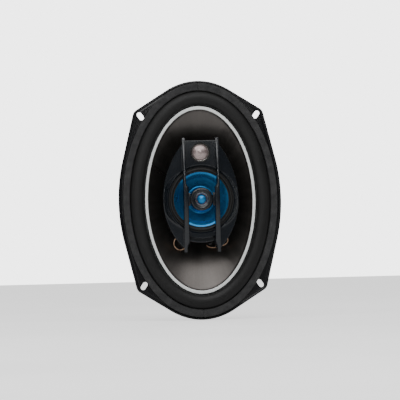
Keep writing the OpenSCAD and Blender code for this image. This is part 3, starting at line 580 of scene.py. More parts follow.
def stadium(width, long, steps=24):
    """The outline of a slot with round ends, lying along x."""
    a = np.linspace(-TAU / 4, TAU / 4, steps // 2)
    end = np.column_stack([(long - width) / 2 + width / 2 * np.cos(a), width / 2 * np.sin(a)])
    return np.vstack([end, -end])


FLAT_ON = 0.9998


def cut(target, parts):
    """Cuts closed bench shapes out of a piece and shades it smooth again, but for the faces that
    look straight along the axis, which stay flat."""
    tool = build("cutter", parts)
    knife = target.modifiers.new("cut", "BOOLEAN")
    knife.object = tool
    knife.operation = "DIFFERENCE"
    knife.solver = "EXACT"
    evaluated = target.evaluated_get(bpy.context.evaluated_depsgraph_get())
    carved = bpy.data.meshes.new_from_object(evaluated)
    target.modifiers.clear()
    target.data = carved
    bpy.data.objects.remove(tool)
    carved.shade_smooth()
    carved.set_sharp_from_angle(angle=math.radians(35))
    facing = np.empty(len(carved.polygons) * 3)
    carved.polygons.foreach_get("normal", facing)
    carved.polygons.foreach_set("use_smooth", np.abs(facing[1::3]) < FLAT_ON)


slot_shape = stadium(SLOT_W, SLOT_L)
SLOT_CUT = (-2.0, 8.0)
tools = []
for sx in (1, -1):
    for sy in (1, -1):
        way = math.atan2(sy * SLOT_DY, sx * SLOT_DX)
        spin = np.array([[math.cos(way), math.sin(way)], [-math.sin(way), math.cos(way)]])
        flat_slot = slot_shape @ spin + [sx * SLOT_DX / 2, sy * SLOT_DY / 2]
        tools.append(tube_part(np.array([with_height(flat_slot, h) for h in SLOT_CUT])))
cut(flange_piece, tools)
fit(flange_piece, "basket")

# %% [markdown]
# ## The bowl and its windows
# Behind the flange the pressing goes on as a bowl: an oval wall, eight legs that run in to a round
# shelf, and a cup that holds the motor. One grid covers it all. Its rows go from the flange to the
# shelf, and its columns run along the legs, so the faces of a window can simply be left out. The
# columns at a window's sides pull in near its ends, which rounds the window's corners.

# %% Bowl surface
LEG_AT = np.array([0, 48, 90, 132, 180, 228, 270, 312], float)
LEG_HEAD, LEG_FOOT = 6.5, 9.5
BOWL_WALL_Z, LEG_FOOT_Z = -8.0, -34.6
RIB_H, BOWL_SHEET = 1.3, 1.2


def bowl_points(w, angle):
    """A bowl point at share w from the shelf's edge (0) to the wall (1): the half sizes grow evenly
    from the shelf's radius to the bowl's, and the height as w to the power 1.6."""
    w = np.asarray(w, float)[..., None]
    half = SHELF_R + (bowl_out - SHELF_R) * w
    height = LEG_FOOT_Z + (BOWL_WALL_Z - LEG_FOOT_Z) * w[..., 0] ** 1.6
    return np.stack([half[..., 0] * np.cos(angle), half[..., 1] * np.sin(angle), height], -1)


WINDOW_ROWS, LEG_COLS, GAP_COLS = 36, 12, 26
w_rows = np.linspace(0, 1, WINDOW_ROWS + 1)
CORNER_SHARE = 0.16
end_room = np.minimum(w_rows, 1 - w_rows) / CORNER_SHARE
corner = np.where(end_room < 1, 1 - np.sqrt(np.clip(1 - (1 - end_room.clip(0, 1)) ** 2, 0, 1)), 0)
columns, is_leg = [], []
for k, middle in enumerate(LEG_AT):
    following = LEG_AT[(k + 1) % 8] + (360 if k == 7 else 0)
    gap = following - middle
    half_leg = (LEG_FOOT + (LEG_HEAD - LEG_FOOT) * w_rows) + corner * (gap / 2 - LEG_FOOT) * 0.5
    columns += [middle + half_leg * (2 * c / LEG_COLS - 1) for c in range(LEG_COLS)]
    columns += [middle + half_leg + (gap - 2 * half_leg) * c / GAP_COLS for c in range(GAP_COLS)]
    is_leg += [True] * LEG_COLS + [False] * GAP_COLS
column_angle = np.radians(np.array(columns)).T
window_grid = bowl_points(np.broadcast_to(w_rows[:, None], column_angle.shape), column_angle)
leg_index = np.array(is_leg)
along = np.tile(np.concatenate([np.abs(2 * np.arange(LEG_COLS) / LEG_COLS - 1), np.ones(GAP_COLS)]), 8)
rib = np.clip(1 - along / 0.55, 0, 1)[None] ** 0.7 * np.clip(end_room / 1.2, 0, 1)[:, None]
window_grid[..., 2] -= RIB_H * rib

wall_half = np.broadcast_to(bowl_out, (column_angle.shape[1], 2))
wall_rows = [oval_points(wall_half, column_angle[-1], z)
             for z in np.linspace(PLATE_FRONT - SHEET, BOWL_WALL_Z, 7)[:-1]]
round_way = np.column_stack([np.cos(column_angle[0]), np.sin(column_angle[0])])
SHELF_SECTION = [
    (SHELF_R, SHELF_Z + 3.5), (SHELF_R, SHELF_Z + 0.4), (SHELF_R - 0.7, SHELF_Z - 0.4),
    (CUP_R + 1.4, SHELF_Z - 0.4), (CUP_R + 0.5, SHELF_Z - 1.1), (CUP_R, SHELF_Z - 2.2),
    (CUP_R - 0.1, SEAT_BACK + 2.4), (CUP_R - 0.6, SEAT_BACK + 0.6), (CUP_R - 1.8, SEAT_BACK),
    (25.0, SEAT_BACK), (18.6, SEAT_BACK)]
shelf_rows = [with_height(r * round_way, z) for r, z in SHELF_SECTION]
bowl_grid = np.array(wall_rows + list(window_grid[::-1]) + shelf_rows)
bowl_faces = quads(bowl_grid.shape[0], bowl_grid.shape[1], False, True)
row_of = np.repeat(np.arange(bowl_grid.shape[0] - 1), bowl_grid.shape[1])
col_of = np.tile(np.arange(bowl_grid.shape[1]), bowl_grid.shape[0] - 1)
first, last = len(wall_rows), len(wall_rows) + WINDOW_ROWS
in_window = (row_of >= first) & (row_of < last) & ~leg_index[col_of]
rounded_rows = (row_of > first) & (row_of < last - 1)
keep = ~(in_window & rounded_rows)
bowl = build("basket_bowl", [(bowl_grid, [bowl_faces[keep]])], sharp=50)
wall = bowl.modifiers.new("sheet", "SOLIDIFY")
wall.thickness = BOWL_SHEET * MM
wall.offset = -1
fit(bowl, "basket")

# %% [markdown]
# ## Gasket, surround and trim ring
# The gasket is a fibrous ring with broken edges, so its section is a rounded rectangle whose edges
# wander a little round the oval. The surround is one half roll of thin rubber between two flat
# lips. On the speaker it flexes with the cone; this piece stays where it is built and rides on no
# body.

# %% Oval rings


def wander(angle, waves, seed):
    """A smooth wobble between about -1 and 1 round a closed line: a sum of sines of whole numbers
    of waves with random phases, each weighted by one over the root of its number."""
    rng = np.random.default_rng(seed)
    total = np.zeros_like(angle)
    for n in waves:
        total += np.sin(n * angle + rng.uniform(0, TAU)) / math.sqrt(n) * rng.uniform(0.5, 1)
    return total / 1.6


RING_ANGLES = round_angles(1080)


def ragged_ring(section, inner, outer, low, high):
    """A ring with its own edges at each angle: the section's first column runs from the inner to
    the outer half sizes, its second from the low to the high height."""
    u, v = section[None, :, :1], section[None, :, 1]
    half = inner[:, None] * (1 - u) + outer[:, None] * u
    height = low + v * np.broadcast_to(high - low, len(RING_ANGLES))[:, None]
    return ring_part(oval_points(half, RING_ANGLES[:, None], height))


JOINT_NARROWNESS = 110
section = rounded([[0, 0], [1, 0], [1, 1], [0, 1]], [0.02, 0.02, 0.2, 0.2], 4)
inner = gasket_in[None] + 0.12 + 0.16 * wander(RING_ANGLES, range(9, 70, 6), 3)[:, None]
outer = gasket.half[None] - 0.15 + 0.2 * wander(RING_ANGLES, range(11, 80, 7), 4)[:, None]
joint = sum(np.exp(-((np.abs(RING_ANGLES) - at) * JOINT_NARROWNESS) ** 2)
            for at in (TAU / 4, 3 * TAU / 4))
top = gasket.front - 0.12 + 0.1 * wander(RING_ANGLES, range(5, 50, 4), 5) - 0.9 * joint
ring = ragged_ring(section, inner, outer, gasket.back, top)
fit(build("gasket_ring", [ring], sharp=50), "front_gasket")


def ring_share(points, outer_half, inner_half):
    """How far a point lies from an outer oval (0) to an inner one (1): its own distance from the
    axis against the two ovals' distances at the same parameter angle."""
    x, y = points[:, 0], points[:, 1]
    middle = (np.asarray(outer_half) + np.asarray(inner_half)) / 2
    angle = np.arctan2(y / middle[1], x / middle[0])
    far = np.hypot(outer_half[0] * np.cos(angle), outer_half[1] * np.sin(angle))
    near = np.hypot(inner_half[0] * np.cos(angle), inner_half[1] * np.sin(angle))
    return np.clip((far - np.hypot(x, y)) / (far - near), 0, 1)


def flex_radially(obj, outer_half, inner_half):
    """Bakes a finished ring's place into its mesh and works out s, each point's share of the way in
    from the frame outside to the main cone inside; it sets no blend."""
    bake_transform(obj)
    s = ring_share(mesh_points(obj)[:, [0, 2]] / MM, outer_half, inner_half)


ROLL_OUT = gasket_in - 0.3
ROLL_IN = trim.half + [0.3, 0.5]
CONE_FLANGE = cone_rim + 3.7
surround_back = PLATE_FRONT
roll_at = np.linspace(0, math.pi, 41)
share = (1 - np.cos(roll_at)) / 2


def roll_line(shares, base, rise):
    """A half roll across the ring: height = base + rise times the sine to the power 0.9."""
    half = ROLL_OUT + (ROLL_IN - ROLL_OUT) * shares[:, None]
    return [tuple(row) for row in np.column_stack([half, base + rise * np.sin(roll_at) ** 0.9])]


crown = roll_line(share, LIP_TOP, ROLL_H)
hollow = roll_line(0.04 + 0.92 * share, surround_back, ROLL_H - 0.05)
outer_lip = [(*(gasket.half - 0.9), surround_back), (*(gasket.half - 0.9), LIP_TOP)]
inner_lip = [(*(cone_rim + 0.2), LIP_TOP), (*(cone_rim + 0.2), surround_back)]
section = outer_lip + crown + inner_lip + hollow[::-1]
surround = build("surround_roll", [ring_part(oval_swept(section, 540))], sharp=45)
flex_radially(surround, ROLL_OUT, ROLL_IN)
fit(surround, "surround", rides=False)

# %% [markdown]
# The trim ring is a silver strip of pressed board. Its cut edges are ragged, so its outer edge
# wanders more than the gasket does, and its face is a little crowned.

# %% Trim ring
section = rounded([[0, 0], [1, 0], [1, 0.86], [0.5, 1.0], [0, 0.86]], [0, 0, 0.12, 0.3, 0.12], 4)
inner = trim_in[None] + 0.1 + 0.1 * wander(RING_ANGLES, range(7, 60, 5), 7)[:, None]
outer = trim.half[None] - 0.42 + 0.4 * wander(RING_ANGLES, range(23, 300, 13), 8)[:, None]
ring = ragged_ring(section, inner, outer, trim.back, trim.front - 0.05)
fit(build("trim_ring", [ring], sharp=50), "cone_trim_ring")

# %% [markdown]
# ## The cone
# The oval mouth narrows to the round neck, so its half sizes run from the neck's radius to the
# rim's while its height follows a gentle curve that is steeper at the neck. The outer edge turns
# flat under the trim ring, and the neck ends in a short collar that holds the voice coil.

# %% Cone piece


def cone_height(s):
    """The cone's front at share s from the neck: depth times (1 + k) s - k s^2, k its curve."""
    return NECK_Z + CONE_DEPTH * ((1 + CONE_CURVE) * s - CONE_CURVE * s ** 2)


cone_t = 0.9
shares = np.linspace(0, 1, 61)
front_half = NECK_R + (cone_rim - NECK_R) * shares[:, None]
front = np.column_stack([front_half, cone_height(shares)])
back = front - [0, 0, cone_t]
lip = [(*(cone_rim + 0.5), LIP_TOP - 0.02), (*CONE_FLANGE, LIP_TOP - 0.02),
       (*CONE_FLANGE, LIP_TOP - 0.6)]
collar = [(NECK_R + 0.9, NECK_R + 0.9, NECK_Z - 2.0), (NECK_R, NECK_R, NECK_Z - 2.0)]
front[-1, 2] = LIP_TOP - 0.02
section = np.vstack([front, lip, back[::-1], collar])
fit(build("cone_bowl", [ring_part(oval_swept(section, 720))], sharp=40), "cone")

# %% [markdown]
# ## The pod's shield
# The pod is a moulded plate round one round opening, so its front is worked out in polar form:
# in each direction the surface runs from the opening's edge to the outline. Its height is the
# greater of two simple shapes, a roof that falls away to the sides and a low collar round the
# opening, joined by a soft maximum so that the moulding has no knife edge.

# %% Pod outline and height
BOTTOM_WIDE, TOP_WIDE = 18.4, 14.7
ROOF_HALF, ROOF_DROP, ROOF_SINK = 18.8, 7.0, 0.25
SOFT, SOFT_K2, OPENING_CHAMFER = 0.3, 0.35, 1.8
COLLAR_R, COLLAR_FOOT_R, COLLAR_TOP, COLLAR_FOOT = 33.9, 38.1, 17.0, 11.0
TONGUE_HALF, TONGUE_STEP_R, TONGUE_R, TONGUE_FRONT = 14.2, 38.5, 43.0, 13.0
MID_SEAT_R, MID_SEAT_Z = 35.6, 15.0
SUPER_HOLE_R, SUPER_FLOOR_Z = 10.0, 8.2
SPOKES = 960


def arc_reach(angle, wide, far):
    """Distance to an arc through (pod half width, 0) and (wide, far) whose centre lies on the
    X axis: with R = (dx^2 + dy^2) / 2dx and d = R - half width, t = root(R^2 - d^2 sin^2) - d cos."""
    dx = POD_HALF_W - wide
    radius = (dx ** 2 + far ** 2) / (2 * dx)
    d = radius - POD_HALF_W
    return np.sqrt(radius ** 2 - (d * np.sin(angle)) ** 2) - d * np.abs(np.cos(angle))


def pod_reach(angle):
    """Distance from the middle of the opening to the pod's edge in each direction: the side's arc,
    cut off flat at the top and the bottom, and cut round at the tongue between the leads."""
    up = np.sin(angle) >= 0
    sine = np.maximum(np.abs(np.sin(angle)), 1e-6)
    reach = np.where(up, arc_reach(angle, TOP_WIDE, POD_TOP), arc_reach(angle, BOTTOM_WIDE, POD_BOTTOM))
    reach = np.minimum(reach, np.where(up, POD_TOP, POD_BOTTOM) / sine)
    beside = np.abs(np.cos(angle)) * reach > TONGUE_HALF
    return np.where(up | beside, reach, np.minimum(reach, TONGUE_R))


def pod_height(x, y):
    """Height of the pod's front: the soft maximum of roof and collar,
    (a + b + root((a - b)^2 + k^2)) / 2, lowered to a shelf on the tongue at the bottom."""
    r = np.hypot(x, y)
    roof = POD_FRONT - ROOF_DROP * np.maximum(np.abs(x) - ROOF_HALF, 0) / (POD_HALF_W - ROOF_HALF)
    roof -= ROOF_SINK * step(np.abs(x), ROOF_HALF - 1.5, ROOF_HALF + 1.5)
    slope = (COLLAR_TOP - COLLAR_FOOT) / (COLLAR_FOOT_R - COLLAR_R)
    collar = COLLAR_TOP - slope * np.maximum(r - COLLAR_R, 0)
    top = (roof + collar + np.sqrt((roof - collar) ** 2 + SOFT_K2)) / 2
    top = np.minimum(top, POD_FRONT)
    tongue = step(r, TONGUE_STEP_R - SOFT, TONGUE_STEP_R + SOFT) * step(-y, 0, 2)
    tongue *= 1 - step(np.abs(x), TONGUE_HALF - SOFT, TONGUE_HALF + SOFT)
    top = top - (top - TONGUE_FRONT) * tongue
    chamfer = (POD_FRONT - OPENING_CHAMFER) + (r - OPENING_R)
    return np.minimum(top, chamfer)


print("pod outline from", -POD_BOTTOM, "to", POD_TOP, "mm")

# %% [markdown]
# The shield's grid has one spoke for each direction. It runs from the opening's edge out over the
# front, rolls over the outer edge, and comes back behind to the seat that the midrange rests on. The
# super tweeter's hole is cut in afterwards, because it isn't round the same middle.

# %% Pod shield
angles = round_angles(SPOKES)
reach = pod_reach(angles)
EDGE_ROLL = 0.9
along_r = np.concatenate([np.linspace(0, 0.3, 16)[:-1], np.linspace(0.3, 1, 46)])
r = OPENING_R + (reach - EDGE_ROLL - OPENING_R)[:, None] * along_r[None] ** 1.3
x, y = r * np.cos(angles)[:, None], r * np.sin(angles)[:, None]
front = np.stack([x, y, pod_height(x, y)], -1)
edge_z = front[:, -1, 2]
rows = [front]
for turn in np.radians([20, 40, 60, 80, 90]):
    reach_now = reach - EDGE_ROLL * (1 - math.sin(turn))
    rows.append(np.stack([reach_now * np.cos(angles), reach_now * np.sin(angles),
                          edge_z - EDGE_ROLL * (1 - math.cos(turn))], -1)[:, None])


def polar_row(radius, height):
    """One column of points round the opening at the given radius and height."""
    radius = np.broadcast_to(radius, angles.shape)
    return np.stack([radius * np.cos(angles), radius * np.sin(angles),
                     np.broadcast_to(height, angles.shape)], -1)[:, None]


for q in (0.3, 0.65, 1.0):
    rows.append(polar_row(reach, (edge_z - EDGE_ROLL) * (1 - q) + (POD_BASE_FRONT + 0.03) * q))
rows += [polar_row(MID_SEAT_R, POD_BASE_FRONT + 0.03), polar_row(MID_SEAT_R, MID_SEAT_Z),
         polar_row(OPENING_R, MID_SEAT_Z)]
shield = build("pod_shield_cover", [ring_part(np.concatenate(rows, 1))], sharp=32)
hole = [[0.0, SUPER_FLOOR_Z], [SUPER_HOLE_R, SUPER_FLOOR_Z], [SUPER_HOLE_R, 30], [0.0, 30]]
cut(shield, [turned(np.array(hole), (0, SUPER_Y), 96)])
fit(shield, "pod_shield")

# %% [markdown]
# ## Fins, arms and hub
# Each fin is a blade whose crest is one long arc, so its top is a chord height taken from a circle.
# The blade's sides lean in a little towards the crest, as moulded ribs do, and its long edges are
# round. The hub between them is turned, with a sloping front that leads in to the bezel.

# %% Fin bridge
FIN_TOP_Y, FIN_BOTTOM_Y, FIN_HIGH, FIN_LEAN = 61.0, -52.5, 7.0, 0.05


def fin_crest(y):
    """Height of the crest: the arc of a circle with R = (h^2 + c^2) / 2h, for a rise h over a
    chord of 2c, so that the height above the pod is h - R + root(R^2 - y^2) about its middle."""
    half = (FIN_TOP_Y - FIN_BOTTOM_Y) / 2
    radius = (FIN_HIGH ** 2 + half ** 2) / (2 * FIN_HIGH)
    from_middle = y - (FIN_TOP_Y + FIN_BOTTOM_Y) / 2
    return POD_FRONT + FIN_HIGH - radius + np.sqrt(radius ** 2 - from_middle ** 2)


def fin(side):
    """One fin's grid: a rounded section at each place along y, narrow at the ends. At share u of
    the width and v of the height, x = inside + lean v + u (width - 1.8 lean v)."""
    y = np.concatenate([[FIN_BOTTOM_Y + 0.05], np.linspace(FIN_BOTTOM_Y + 0.6, FIN_TOP_Y - 0.6, 150),
                        [FIN_TOP_Y - 0.05]])
    inside = np.interp(y, [FIN_BOTTOM_Y, -46.5, -42, 11.5, 15.5, FIN_TOP_Y],
                       [FIN_IN, FIN_IN, FIN_WIDE_IN, FIN_WIDE_IN, FIN_IN, FIN_IN])
    high = np.maximum(fin_crest(y), POD_FRONT + 0.25) - POD_FRONT
    lean = FIN_LEAN * high[:, None]
    shape = rounded([[0, 0], [1, 0], [1, 1], [0, 1]], [0, 0, 0.3, 0.3], 5)
    u, v = shape[None, :, 0], shape[None, :, 1]
    width = (FIN_OUT - inside)[:, None]
    x = inside[:, None] + lean * v + u * (width - 1.8 * lean * v)
    z = POD_FRONT - 0.05 + v * high[:, None]
    return np.stack([side * x, np.broadcast_to(y[:, None], x.shape), z], -1)


def bar_across(x, y, z, radius=0.8):
    """A bar along x with a rounded section."""
    outline = rounded(np.array([[y[0], z[0]], [y[1], z[0]], [y[1], z[1]], [y[0], z[1]]]), radius, 5)
    rows = [np.column_stack([np.full(len(outline), at), outline]) for at in np.linspace(*x, 8)]
    return tube_part(np.array(rows))


tweeter_bezel = Span("tweeter_bezel")
HUB_R, HUB_BACK, HUB_FRONT, SHELL_R, BEZEL_SEAT_Z = 11.5, 13.0, 21.0, 7.35, 19.4
hub_shape = np.array([[SHELL_R, HUB_BACK], [HUB_R, HUB_BACK], [HUB_R, HUB_FRONT - 0.9],
                      [HUB_R - 1.2, HUB_FRONT], [tweeter_bezel.r + 1.6, HUB_FRONT - 0.1],
                      [tweeter_bezel.r + 0.1, HUB_FRONT - 0.55], [tweeter_bezel.r + 0.1, BEZEL_SEAT_Z],
                      [SHELL_R, BEZEL_SEAT_Z]])
hub = turned(rounded(hub_shape, [0.2, 0.5, 0.8, 0.8, 0.6, 0.3, 0.1, 0.1], 5), steps=200)
arms = [bar_across((side * (HUB_R - 0.4), side * (FIN_WIDE_IN + 1.2)), (-6.5, 6.5),
                   (POD_FRONT - 1.5, POD_FRONT + 2.5)) for side in (1, -1)]
fins = [tube_part(fin(side)) for side in (1, -1)]
fit(build("fin_bridge_moulding", [*fins, *arms, hub], sharp=38), "fin_bridge")

# %% [markdown]
# ## The pod's base and cup
# The base closes the pod behind: a plate in the shield's outline, and a turned cup that runs back
# over the midrange's motor. The plate's edge is the same function, so the two parts line up.

# %% Pod base
PLATE_BACK = 6.0
plate_rows = [(reach - 0.25, POD_BASE_FRONT), (reach, POD_BASE_FRONT - 0.3),
              (reach, PLATE_BACK + 0.3), (reach - 0.3, PLATE_BACK), (37.3, PLATE_BACK)]
cup_rows = [(37.0, 5.2), (30.0, -2.1), (19.2, -15.2), (18.2, -15.8), (0.4, -15.8),
            (0.4, -13.4), (16.4, -13.2), (35.7, PLATE_BACK), (35.7, POD_BASE_FRONT)]
rows = [polar_row(radius, height) for radius, height in plate_rows + cup_rows]
fit(build("pod_base_cup", [ring_part(np.concatenate(rows, 1))], sharp=32), "pod_base")

# %% [markdown]
# ## The midrange
# Its parts are all turned about the same axis: the frame's flange, a small rubber roll, the
# metallised cone with its pressed rings, the coil former and the motor. The cone's rings are what
# the light picks out, so the profile keeps each of them: a step at the neck, a groove, two slopes
# and a thin bright rim.

# %% Midrange parts
MID_FACE, MID_ROLL_R, MID_ROLL_HALF = 14.6, 29.9, 1.55
frame_shape = np.array([[35.2, MID_FACE], [31.4, MID_FACE], [31.4, 13.6], [13.0, -1.0], [8.9, -1.0],
                        [8.9, -1.8], [14.0, -1.8], [32.2, 12.6], [35.2, 12.6]])
fit(build("midrange_frame_ring", [turned(rounded(frame_shape, 0.25, 3), steps=200)]), "midrange_frame")
roll = np.linspace(0, math.pi, 15)
mid_roll = np.concatenate([
    [[34.8, MID_FACE], [34.8, MID_FACE + 0.3]],
    np.column_stack([MID_ROLL_R + MID_ROLL_HALF * np.cos(roll), MID_FACE + 0.3 + 1.45 * np.sin(roll)]),
    [[27.3, MID_FACE + 0.3], [27.3, MID_FACE]],
    np.column_stack([MID_ROLL_R - 1.3 * np.cos(roll), MID_FACE + 1.25 * np.sin(roll)])])
mid_surround = build("midrange_roll", [turned(mid_roll, steps=240)])
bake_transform(mid_surround)


blend_by_radius(mid_surround)
fit(mid_surround, "midrange_surround", rides=False)

CONE_RINGS = [(6.95, -12.3), (10.4, -10.2), (12.2, -8.5), (12.9, -8.1), (13.5, -8.6), (14.2, -8.3),
              (18.0, -6.6), (22.0, -4.4), (22.6, -3.8), (25.4, -1.6), (27.3, -0.6), (27.8, 0.0)]
ring_points = np.array(CONE_RINGS) + [0, MID_FACE - 0.1]
outline = np.vstack([ring_points, ring_points[::-1] - [0, 0.5]])
bend = np.concatenate([[0], np.full(10, 0.45), [0.1], [0.1], np.full(10, 0.45), [0]])
fit(build("midrange_cone_spun", [turned(rounded(outline, bend, 5), steps=300)], sharp=30),
    "midrange_cone")


turned_piece("midrange_coil_former", "midrange_coil",
             [(6.9, 2.6), (6.6, 2.6), (6.6, -5.8), (7.35, -5.8), (7.35, -0.8), (6.9, -0.7)], 0.05)
MID_R, MID_FRONT, MID_PLATE_BACK, MID_MAGNET_BACK, MID_BACK = 15.0, -1.8, -3.8, -10.8, -13.2
turned_piece("midrange_plate", "midrange_top_plate", washer(MID_R, 7.8, MID_PLATE_BACK, MID_FRONT))
turned_piece("midrange_ring_magnet", "midrange_magnet",
             washer(MID_R, 8.8, MID_MAGNET_BACK, MID_PLATE_BACK), 0.5)
turned_piece("midrange_back_plate", "midrange_yoke",
             [(6.2, MID_FRONT), (0.02, MID_FRONT), (0.02, MID_BACK), (MID_R, MID_BACK),
              (MID_R, MID_MAGNET_BACK), (6.2, MID_MAGNET_BACK)])
print("midrange ready")

# %% [markdown]
# ## The tweeters
# Both tweeters show a thin dome in a ring. A dome is a cap of a sphere, turned like the other
# parts: its profile is the arc of a circle, out and back again one film thickness lower.

# %% Domes and rings


def cap(radius, rise, base, thickness=0.25, steps=24):
    """A dome's closed section: with R = (r^2 + h^2) / 2h, its height over the base at distance x
    from the axis is h - R + root(R^2 - x^2), and its inside lies one thickness lower."""
    sphere = (radius ** 2 + rise ** 2) / (2 * rise)
    x = np.linspace(radius, 0, steps)
    z = base + rise - sphere + np.sqrt(sphere ** 2 - x ** 2)
    outside = np.column_stack([x, z])
    return np.vstack([outside, outside[::-1] - [0, thickness]])


fit(build("tweeter_dome_film", [turned(cap(5.0, 3.0, 19.35))], sharp=40), "tweeter_dome")
turned_piece("tweeter_bezel_ring", "tweeter_bezel",
             [(6.42, 19.42), (6.42, 21.1), (6.15, 21.4), (5.75, 21.25), (5.3, 20.2), (5.25, 19.42)],
             0.18)
turned_piece("tweeter_pot", "tweeter_yoke",
             [(7.25, 18.75), (5.6, 18.75), (5.6, 14.8), (0.01, 14.8), (0.01, 13.6), (7.25, 13.6)])
super_at = (0, SUPER_Y)
super_part = turned(cap(8.0, 3.0, 16.25), super_at, 200)
fit(build("super_tweeter_dome_film", [super_part], sharp=40), "super_tweeter_dome")
turned_piece("super_tweeter_funnel", "super_tweeter_ring",
             [(9.9, 15.95), (9.9, 17.75), (9.55, 17.9), (9.1, 17.3), (8.4, 16.5), (8.35, 15.95)],
             0.15, super_at, 200)
turned_piece("super_tweeter_pot", "super_tweeter_yoke",
             [(9.9, 15.85), (8.1, 15.85), (8.1, 9.2), (0.01, 9.2), (0.01, 8.1), (9.9, 8.1)], 0.2,
             super_at)
print("tweeters ready")

# %% [markdown]
# ## The motor, the voice coil and the spider
# The motor is a sandwich of turned plates round the pole. The spider centres the coil: a round
# cloth pressed into waves, with its rim on the basket and its inside on the coil's former. Like the
# surround, this piece stays where it is built and rides on no body.

# %% Motor, coil and spider
POLE_FRONT, PLATE_BACK_Z, MAGNET_BACK, MOTOR_BACK = -49.6, -55.6, -71.6, -76.6
turned_piece("motor_top_plate", "top_plate", washer(40.0, 17.6, PLATE_BACK_Z, SEAT_BACK), 0.6)
turned_piece("motor_magnet", "magnet", washer(45.0, 21.0, MAGNET_BACK, PLATE_BACK_Z), 1.3, steps=240)
pole = [(40, MAGNET_BACK), (15.0, MAGNET_BACK), (15.0, POLE_FRONT), (2.6, POLE_FRONT),
        (2.6, MOTOR_BACK), (40, MOTOR_BACK)]
turned_piece("motor_pole_and_plate", "pole_yoke", pole, 0.7, steps=240)
turned_piece("coil_former", "voice_coil_former", washer(16.0, 15.6, -58.6, -29.3), 0.05, steps=200)
turned_piece("coil_winding", "voice_coil_winding", washer(17.0, 16.02, -58.1, -48.1), 0.3, steps=200)
turned_piece("pod_post_stud", "pod_post",
             [(9, POLE_FRONT), (9, -47.4), (6, -46.2), (6, -20.0), (7.4, -18.3), (11, -18.3),
              (11, -15.8), (0.01, -15.8), (0.01, -41.0), (2.1, -41.0), (2.1, POLE_FRONT)], 0.5)

WAVES_IN, WAVES_OUT, WAVES, WAVE_H = 17.4, 36.4, 5, 1.1
wave_r = np.linspace(WAVES_IN, WAVES_OUT, 200)
along = (wave_r - WAVES_IN) / (WAVES_OUT - WAVES_IN)
ease = np.sin(np.pi * along) ** 0.4
wave_z = SHELF_Z + 0.5 + WAVE_H * ease * np.sin(TAU * WAVES * along)
cloth = np.column_stack([np.concatenate([[16.05, 16.05, 17.0], wave_r, [38.2, 43.4]]),
                         np.concatenate([[SHELF_Z + 2.4, SHELF_Z + 0.9, SHELF_Z + 0.5], wave_z,
                                         [SHELF_Z + 0.1, SHELF_Z + 0.08]])])
spider = build("spider_cloth_waves", [turned(np.vstack([cloth + [0, 0.25], cloth[::-1] - [0, 0.2]]),
                                             steps=240)], sharp=60)
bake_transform(spider)
blend_by_radius(spider)
fit(spider, "spider", rides=False)

# %% [markdown]
# ## Leads and cement
# The leads are braided copper, fixed at both ends: the pod's pair runs down to the cone, and the
# rear pair from the terminals to the back of the cone. Each follows a smooth curve through a few
# points. Its section has three lobes that turn as it goes, which reads as twisted strands. On the
# speaker the cone's end travels with the cone; these pieces stay where they are built.

# %% Lead curves
LEAD_R = 0.55
LEFT_ROUTE = [(-20.5, -34.5, 5.4), (-22.2, -35.4, 4.2), (-24.4, -36.8, 2.6), (-26.2, -39.0, 0.6),
              (-27.0, -42.0, -1.4), (-26.8, -44.8, -3.2), (-25.2, -47.2, -4.6), (-22.6, -48.9, -5.8),
              (-19.8, -49.2, -6.8), (-17.4, -48.6, -7.2), (-15.8, -47.9, -7.4)]
RIGHT_ROUTE = [(21, -35.8, 5.4), (23.8, -36.8, 4.2), (26.4, -39.2, 2.2), (26.8, -42.2, -0.4),
               (24.4, -44.8, -3), (20.2, -46.6, -5.4), (15.6, -47.6, -7.6), (11, -47.6, -9.6),
               (7.9, -46.5, -11.2), (6.5, -45, -12.2)]
REAR_ROUTE = [(50.8, 10.4, -39.2), (50.6, 10.6, -36), (48.8, 10.8, -33), (45.8, 10.9, -30.8),
              (42.2, 10.8, -28.8), (38.8, 10.4, -26), (36.2, 9.8, -22.6), (34.4, 9, -18.6),
              (33.4, 8.4, -15.6), (33, 8, -14)]


def smooth_path(points, per_span=26):
    """A Catmull-Rom curve through the points: each span is a cubic whose slope at an end is half
    the way from the point before it to the point after it."""
    p = np.asarray(points, float)
    p = np.vstack([2 * p[0] - p[1], p, 2 * p[-1] - p[-2]])
    t = np.linspace(0, 1, per_span, endpoint=False)[None, :, None]
    a, b, c, d = (p[i:len(p) - 3 + i, None] for i in range(4))
    curve = 0.5 * (2 * b + (c - a) * t + (2 * a - 5 * b + 4 * c - d) * t ** 2
                   + (3 * b - a - 3 * c + d) * t ** 3)
    return np.vstack([curve.reshape(-1, 3), p[-2]])


def stranded(route, pitch=2.4, sides=24):
    """A cord's grid round its curve. The radius is r (0.84 + 0.16 |cos 1.5(a - turn)|), three lobes
    that turn once per pitch of length."""
    path = smooth_path(route)
    ahead = np.gradient(path, axis=0)
    ahead /= np.linalg.norm(ahead, axis=1)[:, None]
    side = np.cross(ahead, [0.31, 0.2, 0.93])
    side /= np.linalg.norm(side, axis=1)[:, None]
    over = np.cross(ahead, side)
    run = np.concatenate([[0], np.cumsum(np.linalg.norm(np.diff(path, axis=0), axis=1))])
    a = round_angles(sides)[None]
    lobes = np.abs(np.cos(1.5 * (a - TAU * run[:, None] / pitch)))
    r = LEAD_R * (0.84 + 0.16 * lobes)
    grid = path[:, None] + r[..., None] * (np.cos(a)[..., None] * side[:, None]
                                           + np.sin(a)[..., None] * over[:, None])
    return tube_part(grid)


def lead(name, node_name, route, mirror=1):
    """One lead from its fixed end (first point) to its end on the cone (last point), which rides on no
    body.
    """
    points = np.array(route) * [1, mirror, 1]
    obj = build(name, [stranded(points)], sharp=60)
    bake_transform(obj)
    return fit(obj, node_name, rides=False)


